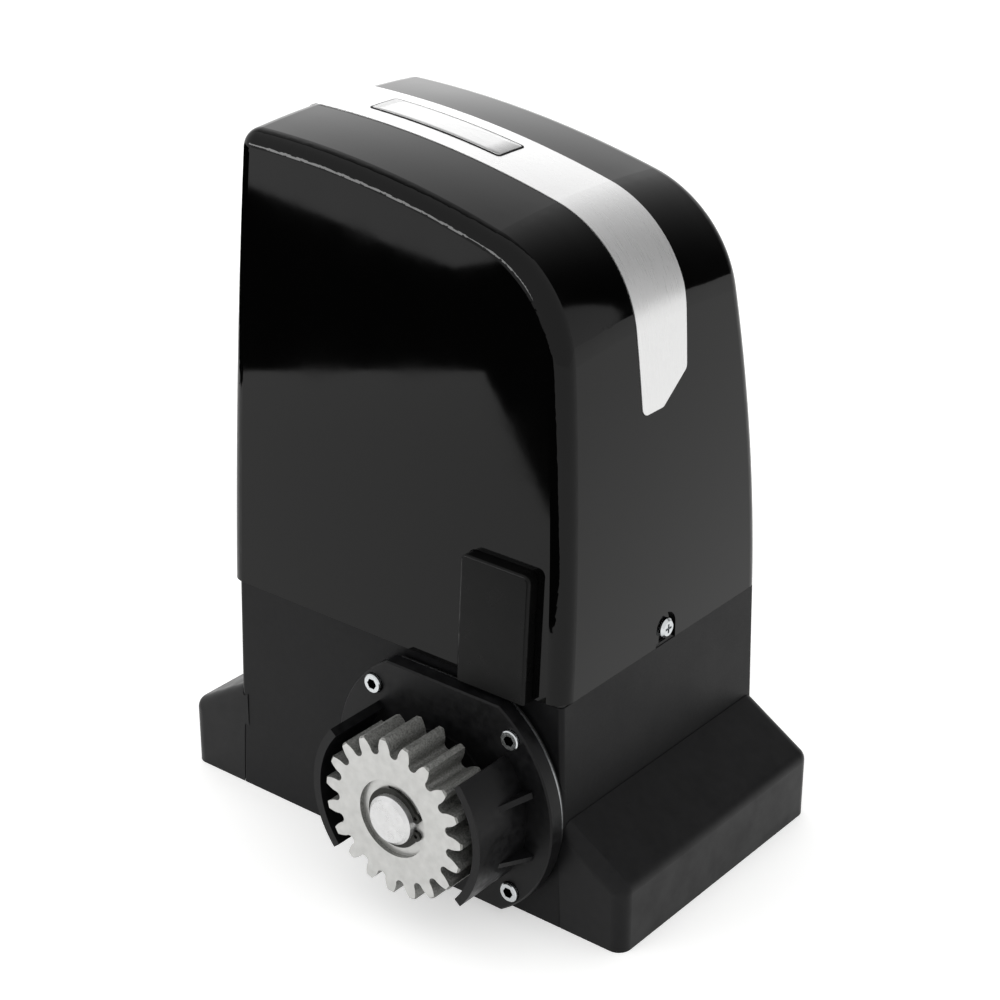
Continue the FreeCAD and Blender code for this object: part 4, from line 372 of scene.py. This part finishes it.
def seal_rubber():
    """EPDM rubber, moulded: matt, dark grey-black, with a dusty bloom."""
    material, tree, shader, place = new_material("epdm_rubber_moulding", "#161616", 0.75)
    tree.links.new(tint(tree, spread(tree, grain(tree, place, 2 * MM, 3.0), 0, 1), "#111111",
                        "#1c1c1c"), shader.inputs["Base Color"])
    return material


# ------------------------------------------------------------------ finishes inside

def inner_metal(name, dark, light, roughness, lumps, step):
    """Metal of the inner pieces: two tones and a surface step, each by its own process."""
    material, tree, shader, place = new_material(name, light, roughness, 1.0)
    value = grain(tree, place, lumps, 3.0)
    tree.links.new(tint(tree, spread(tree, value, 0, 1), dark, light),
                   shader.inputs["Base Color"])
    tree.links.new(spread(tree, value, roughness - 0.07, roughness + 0.07),
                   shader.inputs["Roughness"])
    bump(tree, shader, value, step)
    return material


def inner_moulding(name, dark, light, roughness, lumps):
    """Plastic of the inner pieces, with slow changes of tone."""
    material, tree, shader, place = new_material(name, light, roughness)
    value = grain(tree, place, lumps, 3.0)
    tree.links.new(tint(tree, spread(tree, value, 0, 1), dark, light),
                   shader.inputs["Base Color"])
    tree.links.new(spread(tree, value, roughness - 0.06, roughness + 0.06),
                   shader.inputs["Roughness"])
    return material


def solder_mask():
    """Epoxy board under green solder mask: tracks 1.3 mm apart show through the lacquer."""
    material, tree, shader, place = new_material("epoxy_glass_solder_mask", "#0d4a22", 0.3)
    tracks = add(tree, "ShaderNodeTexBrick", {"Vector": place}, Scale=1 / (8 * MM),
                 Color1=linear("#12602d"), Color2=linear("#0d4a22"), Mortar=linear("#083316"),
                 Mortar_Size=0.04)
    tree.links.new(tracks.outputs["Color"], shader.inputs["Base Color"])
    return material


def enamelled_copper():
    """Enamelled copper wire, wound: 0.8 mm wires lie side by side round the stator."""
    material, tree, shader, place = new_material("copper_wire_enamelled", "#a4531f", 0.3, 0.9)
    height = add(tree, "ShaderNodeSeparateXYZ", {"Vector": place}).outputs["Z"]
    wave = compute(tree, "SINE", compute(tree, "MULTIPLY", height, 2 * math.pi / (0.8 * MM)), 0.0)
    wires = spread(tree, wave, 0.0, 1.0, -1.0, 1.0)
    tree.links.new(tint(tree, wires, "#6e3312", "#b8642a"), shader.inputs["Base Color"])
    bump(tree, shader, wires, 0.2 * MM)
    return material


# ------------------------------------------------------------------ new pieces

def grid_mesh(name, points, pole):
    """Closed cap: rings of points (ring, step, xyz) round one pole point, as a mesh."""
    rings, steps, _ = points.shape
    verts = np.vstack([points.reshape(-1, 3), pole[None, :]])
    ring, step = np.meshgrid(np.arange(rings - 1), np.arange(steps), indexing="ij")
    after = (step + 1) % steps
    quads = np.stack([(ring + 1) * steps + step, (ring + 1) * steps + after,
                      ring * steps + after, ring * steps + step], axis=-1).reshape(-1, 4)
    first = np.arange(steps)
    fan = np.stack([first, (first + 1) % steps, np.full(steps, rings * steps)], axis=-1)
    mesh = bpy.data.meshes.new(name)
    mesh.from_pydata(verts.tolist(), [], quads.tolist() + fan.tolist())
    mesh.shade_smooth()
    piece = bpy.data.objects.new(name, mesh)
    bpy.context.scene.collection.objects.link(piece)
    return piece


def rounded_outline(length, width, radius, steps):
    """Rectangle with round corners, as steps points at even distances along it."""
    turn = np.linspace(0, math.pi / 2, CORNER_STEPS)
    corners = [(length / 2 - radius, width / 2 - radius, 0.0),
               (radius - length / 2, width / 2 - radius, math.pi / 2),
               (radius - length / 2, radius - width / 2, math.pi),
               (length / 2 - radius, radius - width / 2, 3 * math.pi / 2)]
    path = [(x + radius * math.cos(start + angle), y + radius * math.sin(start + angle))
            for x, y, start in corners for angle in turn]
    path = np.array(path + path[:1])
    walked = np.concatenate([[0], np.cumsum(np.linalg.norm(np.diff(path, axis=0), axis=1))])
    places = np.linspace(0, walked[-1], steps, endpoint=False)
    return np.stack([np.interp(places, walked, path[:, 0]),
                     np.interp(places, walked, path[:, 1])], axis=1)


def trim_height(x, y):
    """Height of the trim's top under a point, found by a ray from above."""
    above = Vector((x, y, TRIM_BOX[1][2] + MM))
    hit, place, _, _ = nodes["trim_strip"].ray_cast(above, Vector((0, 0, -1)))
    if not hit:
        raise ValueError(f"no trim under {x:.4f}, {y:.4f}")
    return place.z


def laid_plate(name, length, width, radius, low, high, bevel):
    """Flat plate laid on the trim. A ring is the outline scaled by its share; its height is
    the trim's under each point plus the ring's rise, so the plate bends with the crown."""
    plate = bpy.context.scene.gate_motor_plate
    centre = (TRIM_BOX[0][1] + TRIM_BOX[1][1]) / 2 + plate.shift_y
    outline = rounded_outline(length, width, radius, PLATE_STEPS)
    inner = rounded_outline(length - 2 * bevel, width - 2 * bevel, radius - bevel * 0.9,
                            PLATE_STEPS)
    rings = [inner * share for share in PLATE_RINGS] + [outline, outline]
    rises = [high] * len(PLATE_RINGS) + [high - bevel, low]
    points = np.zeros((len(rings), PLATE_STEPS, 3))
    points[:, :, :2] = np.array(rings) + (plate.place_x, centre)
    for ring, rise in zip(points, rises):
        ring[:, 2] = [trim_height(x, y) + rise for x, y in ring[:, :2]]
    pole = np.array([plate.place_x, centre, trim_height(plate.place_x, centre) + high])
    return grid_mesh(name, points, pole)


# ------------------------------------------------------------------ settings

class GateMotorPlate(bpy.types.PropertyGroup):
    """Sizes of the blank plate on top of the trim."""
    length: FloatProperty(name="Length", description="Along the trim", default=80 * MM,
                          unit="LENGTH")
    width: FloatProperty(name="Width", description="Across the trim", default=20 * MM,
                         unit="LENGTH")
    thickness: FloatProperty(name="Thickness", description="Above the trim", default=0.45 * MM,
                             unit="LENGTH")
    border: FloatProperty(name="Border", description="Width of the printed border",
                          default=1.0 * MM, unit="LENGTH")
    place_x: FloatProperty(name="Place", description="Its middle along X", default=-35 * MM,
                           unit="LENGTH")
    shift_y: FloatProperty(name="Shift", description="Its middle from the trim's middle",
                           default=1 * MM, unit="LENGTH")


class GateMotorStage(bpy.types.PropertyGroup):
    """Floor, light and camera round the motor."""
    floor_colour: StringProperty(name="Floor", description="Colour of the floor, sRGB hex",
                                 default="#f4f4f3")
    lift: FloatProperty(name="Floor lift", description="Light added for the camera and mirrors",
                        default=0.42)
    ambient: FloatProperty(name="Ambient", description="Even light from all round", default=0.8)
    rear: FloatProperty(name="Rear wall", description="Radiance of the lit rear wall",
                        default=2.25)
    low: FloatProperty(name="Low board", description="Radiance of the low front board",
                       default=1.7)
    fill: FloatProperty(name="Top softbox", description="Its power in watts", default=3.0)
    key: FloatProperty(name="Front softbox", description="Its power in watts", default=7.0)
    lens: FloatProperty(name="Lens", description="Focal length in millimetres", default=86.904)


# ------------------------------------------------------------------ operators

class GATEMOTOR_OT_cover(bpy.types.Operator):
    """Finishes the glossy cover, its sensor housing and its silver trim"""
    bl_idname = "gate_motor.cover"
    bl_label = "Cover and trim"

    def execute(self, context):
        dress(polished_abs(), "top_cover")
        dress(satin_abs(), "sensor_housing")
        dress(satin_film(), "trim_strip")
        return {"FINISHED"}


class GATEMOTOR_OT_plate(bpy.types.Operator):
    """Lays the blank plate and its printed border on the trim"""
    bl_idname = "gate_motor.plate"
    bl_label = "Blank plate"

    def execute(self, context):
        plate = context.scene.gate_motor_plate
        backing = laid_plate("plate_border", plate.length, plate.width, BORDER_CORNER,
                             -BORDER_SINK, plate.thickness * BORDER_SHARE, BORDER_BEVEL)
        backing.data.materials.append(plate_ink())
        face = laid_plate("blank_plate", plate.length - 2 * plate.border,
                          plate.width - 2 * plate.border, FACE_CORNER, 0.0, plate.thickness,
                          FACE_BEVEL)
        face.data.materials.append(plate_aluminium())
        for piece in (backing, face):
            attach(piece, "housing")
        return {"FINISHED"}


class GATEMOTOR_OT_body(bpy.types.Operator):
    """Finishes the lower casting, the foot covers, the seal and the cable grommet"""
    bl_idname = "gate_motor.body"
    bl_label = "Body and feet"

    def execute(self, context):
        dress(powder_coat(), "base_casting")
        dress(spark_polypropylene(), "right_foot_cover", "left_foot_cover")
        dress(seal_rubber(), "cover_seal", "cable_grommet", "gearbox_gasket", "oil_seal")
        return {"FINISHED"}


class GATEMOTOR_OT_guard(bpy.types.Operator):
    """Finishes the flange with the finger guards, and the screws"""
    bl_idname = "gate_motor.guard"
    bl_label = "Guard and screws"

    def execute(self, context):
        dress(glass_filled_nylon(), "pinion_guard")
        dress(zinc_plate(), "flange_screws", "cover_screws", "tie_bolts")
        return {"FINISHED"}


class GATEMOTOR_OT_drive(bpy.types.Operator):
    """Finishes the drive pinion, its shaft, its key and its circlip"""
    bl_idname = "gate_motor.drive"
    bl_label = "Drive pinion"

    def execute(self, context):
        dress(pinion_steel(), "drive_pinion")
        dress(turned_steel(), "output_shaft", "pinion_key", "wheel_key")
        dress(spring_steel(), "circlip")
        return {"FINISHED"}


class GATEMOTOR_OT_release(bpy.types.Operator):
    """Finishes the release lever, its lock, its cam and its plunger"""
    bl_idname = "gate_motor.release"
    bl_label = "Manual release"

    def execute(self, context):
        dress(spark_polypropylene(), "release_lever")
        dress(zinc_plate(), "lock_barrel")
        dress(inner_metal("steel_ground_pin", "#8f9192", "#a9abac", 0.25, 2 * MM, 0.002 * MM),
              "release_spindle", "release_cam", "release_plunger")
        return {"FINISHED"}


class GATEMOTOR_OT_gearbox(bpy.types.Operator):
    """Finishes the worm gear and the motor inside the cover"""
    bl_idname = "gate_motor.gearbox"
    bl_label = "Gearbox and motor"

    def execute(self, context):
        cast = inner_metal("aluminium_diecast_raw", "#8c8e90", "#a5a7a9", 0.45, 1.5 * MM,
                           0.03 * MM)
        dress(cast, "gearbox_cover", "lower_end_shield", "upper_end_shield", "heat_sink")
        dress(inner_metal("steel_bearing_ground", "#8f9294", "#b4b7b9", 0.2, 3 * MM,
                          0.001 * MM), "output_bearings", "worm_bearings")
        dress(inner_metal("bronze_cast_hobbed", "#8a6230", "#b58a4a", 0.35, 1.5 * MM,
                          0.02 * MM), "worm_wheel")
        dress(inner_metal("steel_case_hardened", "#77797a", "#97999a", 0.28, 2 * MM,
                          0.003 * MM), "worm_shaft")
        dress(inner_metal("silicon_steel_laminated", "#4c4e50", "#6a6c6e", 0.5, 0.5 * MM,
                          0.05 * MM), "stator_core", "rotor_core", "transformer_core")
        dress(enamelled_copper(), "stator_windings")
        dress(inner_moulding("nylon_fan_moulding", "#1a1a1b", "#232324", 0.45, 6 * MM),
              "cooling_fan")
        return {"FINISHED"}


class GATEMOTOR_OT_electronics(bpy.types.Operator):
    """Finishes the tray, the boards and what they carry"""
    bl_idname = "gate_motor.electronics"
    bl_label = "Electronics"

    def execute(self, context):
        dress(inner_moulding("abs_tray_moulding", "#1d1d1e", "#262627", 0.4, 8 * MM),
              "component_tray")
        dress(solder_mask(), "control_board", "sensor_board")
        dress(inner_metal("steel_sheet_galvanised", "#8f9395", "#b3b6b8", 0.4, 8 * MM,
                          0.005 * MM), "board_bracket", "board_standoffs", "capacitor_clip")
        dress(inner_moulding("pbt_relay_case", "#16396e", "#1d4785", 0.3, 6 * MM), "relays")
        dress(inner_moulding("nylon_terminal_green", "#1f7a3f", "#27904c", 0.4, 4 * MM),
              "terminal_blocks")
        dress(inner_moulding("polyester_tape_wrap", "#b8931f", "#cfa92b", 0.35, 5 * MM),
              "transformer_coil")
        dress(inner_metal("aluminium_drawn_can", "#9b9ea0", "#b9bcbe", 0.3, 6 * MM,
                          0.002 * MM), "capacitor")
        return {"FINISHED"}


# ------------------------------------------------------------------ stage

def softbox(name, place, target, size_x, size_y, power):
    """Rectangular lamp that looks at a point and hides from the camera."""
    lamp = bpy.data.lights.new(name, "AREA")
    lamp.shape, lamp.size, lamp.size_y, lamp.energy = "RECTANGLE", size_x, size_y, power
    holder = bpy.data.objects.new(name, lamp)
    holder.location = place
    holder.rotation_mode = "QUATERNION"
    holder.rotation_quaternion = (Vector(place) - Vector(target)).to_track_quat("Z", "Y")
    holder.visible_camera = False
    bpy.context.scene.collection.objects.link(holder)
    return holder


def sheet(name, corners, material):
    """Flat stage piece through its corners."""
    mesh = bpy.data.meshes.new(name)
    mesh.from_pydata(corners, [], [tuple(range(len(corners)))])
    mesh.materials.append(material)
    piece = bpy.data.objects.new(name, mesh)
    bpy.context.scene.collection.objects.link(piece)
    return piece


def seen_in_gloss_only(piece):
    """Leaves a stage piece to the reflections alone, so that no view shows it."""
    piece.visible_camera = False
    piece.visible_diffuse = False
    piece.visible_shadow = False
    piece.visible_transmission = False


def seen_directly(tree):
    """1 for rays from the camera and for those off metal or gloss or through glass, else 0."""
    rays = add(tree, "ShaderNodeLightPath")
    bounced = compute(tree, "MAXIMUM", rays.outputs["Is Glossy Ray"],
                      rays.outputs["Is Transmission Ray"])
    return compute(tree, "MAXIMUM", rays.outputs["Is Camera Ray"], bounced)


def floor_material(colour, lift):
    """Pale paper. Camera and mirrors see it lifted to white, with the motor's shadow kept."""
    material, tree, shader, _ = new_material("paper_white_sweep", colour, 0.9)
    glow = add(tree, "ShaderNodeEmission", Color=linear("#ffffff"), Strength=lift)
    both = add(tree, "ShaderNodeAddShader", {0: shader.outputs["BSDF"],
                                             1: glow.outputs["Emission"]})
    pick = add(tree, "ShaderNodeMixShader", {0: seen_directly(tree),
                                             1: shader.outputs["BSDF"],
                                             2: both.outputs["Shader"]})
    tree.links.new(pick.outputs["Shader"], tree.nodes["Material Output"].inputs["Surface"])
    return material


def lit_material(name, far, near=0.0, centre=(0.0, 0.0, 0.0), fade=1.0):
    """Lit cloth: far + near * exp(-distance from the centre / fade). All 0 is black cloth."""
    material = bpy.data.materials.new(name)
    material.use_nodes = True
    tree = material.node_tree
    tree.nodes.clear()
    place = add(tree, "ShaderNodeTexCoord").outputs["Object"]
    apart = add(tree, "ShaderNodeVectorMath", {0: place}, operation="DISTANCE")
    apart.inputs[1].default_value = centre
    share = compute(tree, "DIVIDE", apart.outputs["Value"], -fade)
    drop = compute(tree, "EXPONENT", share, 0.0)
    level = compute(tree, "ADD", compute(tree, "MULTIPLY", drop, near), far)
    glow = add(tree, "ShaderNodeEmission", {"Strength": level}, Color=linear("#ffffff"))
    add(tree, "ShaderNodeOutputMaterial", {"Surface": glow.outputs["Emission"]})
    return material


def studio_world(ambient):
    """White to the camera and to mirrors, a soft even light to everything else."""
    world = bpy.data.worlds.new("studio")
    world.use_nodes = True
    tree = world.node_tree
    tree.nodes.clear()
    strength = compute(tree, "MAXIMUM", seen_directly(tree), ambient)
    back = add(tree, "ShaderNodeBackground", {"Strength": strength}, Color=linear("#ffffff"))
    add(tree, "ShaderNodeOutputWorld", {"Surface": back.outputs["Background"]})
    bpy.context.scene.world = world


def stage_place(axes, distance, side, height):
    """Stage point by its distance from the motor, its place sideways and its height."""
    away, across = axes
    return (away[0] * distance + across[0] * side, away[1] * distance + across[1] * side,
            height)


class GATEMOTOR_OT_stage(bpy.types.Operator):
    """Lays the floor, sets up the soft light and places the camera"""
    bl_idname = "gate_motor.stage"
    bl_label = "Stage"

    def execute(self, context):
        scene = context.scene
        stage = scene.gate_motor_stage
        sheet("floor", [(x * FLOOR_REACH, y * FLOOR_REACH, 0)
                        for x, y in ((-1, -1), (1, -1), (1, 1), (-1, 1))],
              floor_material(stage.floor_colour, stage.lift))
        studio_world(stage.ambient)
        rear_centre = stage_place(REAR_AXES, REAR_DISTANCE, *REAR_CENTRE)
        seen_in_gloss_only(sheet(
            "rear_wall", [stage_place(REAR_AXES, REAR_DISTANCE, *corner)
                          for corner in REAR_CORNERS],
            lit_material("cloth_lit_rear", 0.0, stage.rear, rear_centre, REAR_FADE)))
        black = lit_material("cloth_black", 0.0)
        for name, corners in (("flag_left", FLAG_LEFT), ("flag_front", FLAG_FRONT)):
            seen_in_gloss_only(sheet(name, [(x, y, FLAG_RISE) for x, y in corners], black))
        seen_in_gloss_only(sheet("board_low", [stage_place(FRONT_AXES, BOARD_DISTANCE, *corner)
                                               for corner in BOARD_CORNERS],
                                 lit_material("cloth_lit_low", stage.low)))
        softbox("front_softbox", *FRONT_SOFTBOX, stage.key)
        fill = softbox("top_softbox", *TOP_SOFTBOX, stage.fill)
        fill.visible_glossy = False
        camera = bpy.data.cameras.new("camera")
        camera.lens, camera.sensor_width = stage.lens, SENSOR_WIDTH
        camera.clip_end = CLIP_END
        holder = bpy.data.objects.new("camera", camera)
        holder.location = CAMERA_PLACE
        turn = Euler((math.radians(90 - CAMERA_DOWN), 0.0, math.radians(CAMERA_TURN)))
        turn = turn.to_matrix() @ Matrix.Rotation(math.radians(CAMERA_ROLL), 3, "Z")
        holder.rotation_mode = "QUATERNION"
        holder.rotation_quaternion = turn.to_quaternion()
        scene.collection.objects.link(holder)
        scene.camera = holder
        scene.view_settings.view_transform = "Standard"
        return {"FINISHED"}


# ------------------------------------------------------------------ add-on

OPERATORS = (GATEMOTOR_OT_cover, GATEMOTOR_OT_plate, GATEMOTOR_OT_body, GATEMOTOR_OT_guard,
             GATEMOTOR_OT_drive, GATEMOTOR_OT_release, GATEMOTOR_OT_gearbox,
             GATEMOTOR_OT_electronics, GATEMOTOR_OT_stage)


class GATEMOTOR_PT_panel(bpy.types.Panel):
    """Lists the motor's pieces and their sizes"""
    bl_idname = "GATEMOTOR_PT_panel"
    bl_label = "Gate motor"
    bl_space_type = "VIEW_3D"
    bl_region_type = "UI"
    bl_category = "Gate motor"

    def draw(self, context):
        for group in (context.scene.gate_motor_plate, context.scene.gate_motor_stage):
            for name in group.__annotations__:
                self.layout.prop(group, name)
        for operator in OPERATORS:
            self.layout.operator(operator.bl_idname)


CLASSES = (GateMotorPlate, GateMotorStage) + OPERATORS + (GATEMOTOR_PT_panel,)


def register():
    for cls in CLASSES:
        bpy.utils.register_class(cls)
    bpy.types.Scene.gate_motor_plate = PointerProperty(type=GateMotorPlate)
    bpy.types.Scene.gate_motor_stage = PointerProperty(type=GateMotorStage)


def unregister():
    del bpy.types.Scene.gate_motor_stage
    del bpy.types.Scene.gate_motor_plate
    for cls in reversed(CLASSES):
        bpy.utils.unregister_class(cls)


def main():
    register()
    for operator in OPERATORS:
        group, name = operator.bl_idname.split(".")
        getattr(getattr(bpy.ops, group), name)()


if __name__ == "__main__":
    main()
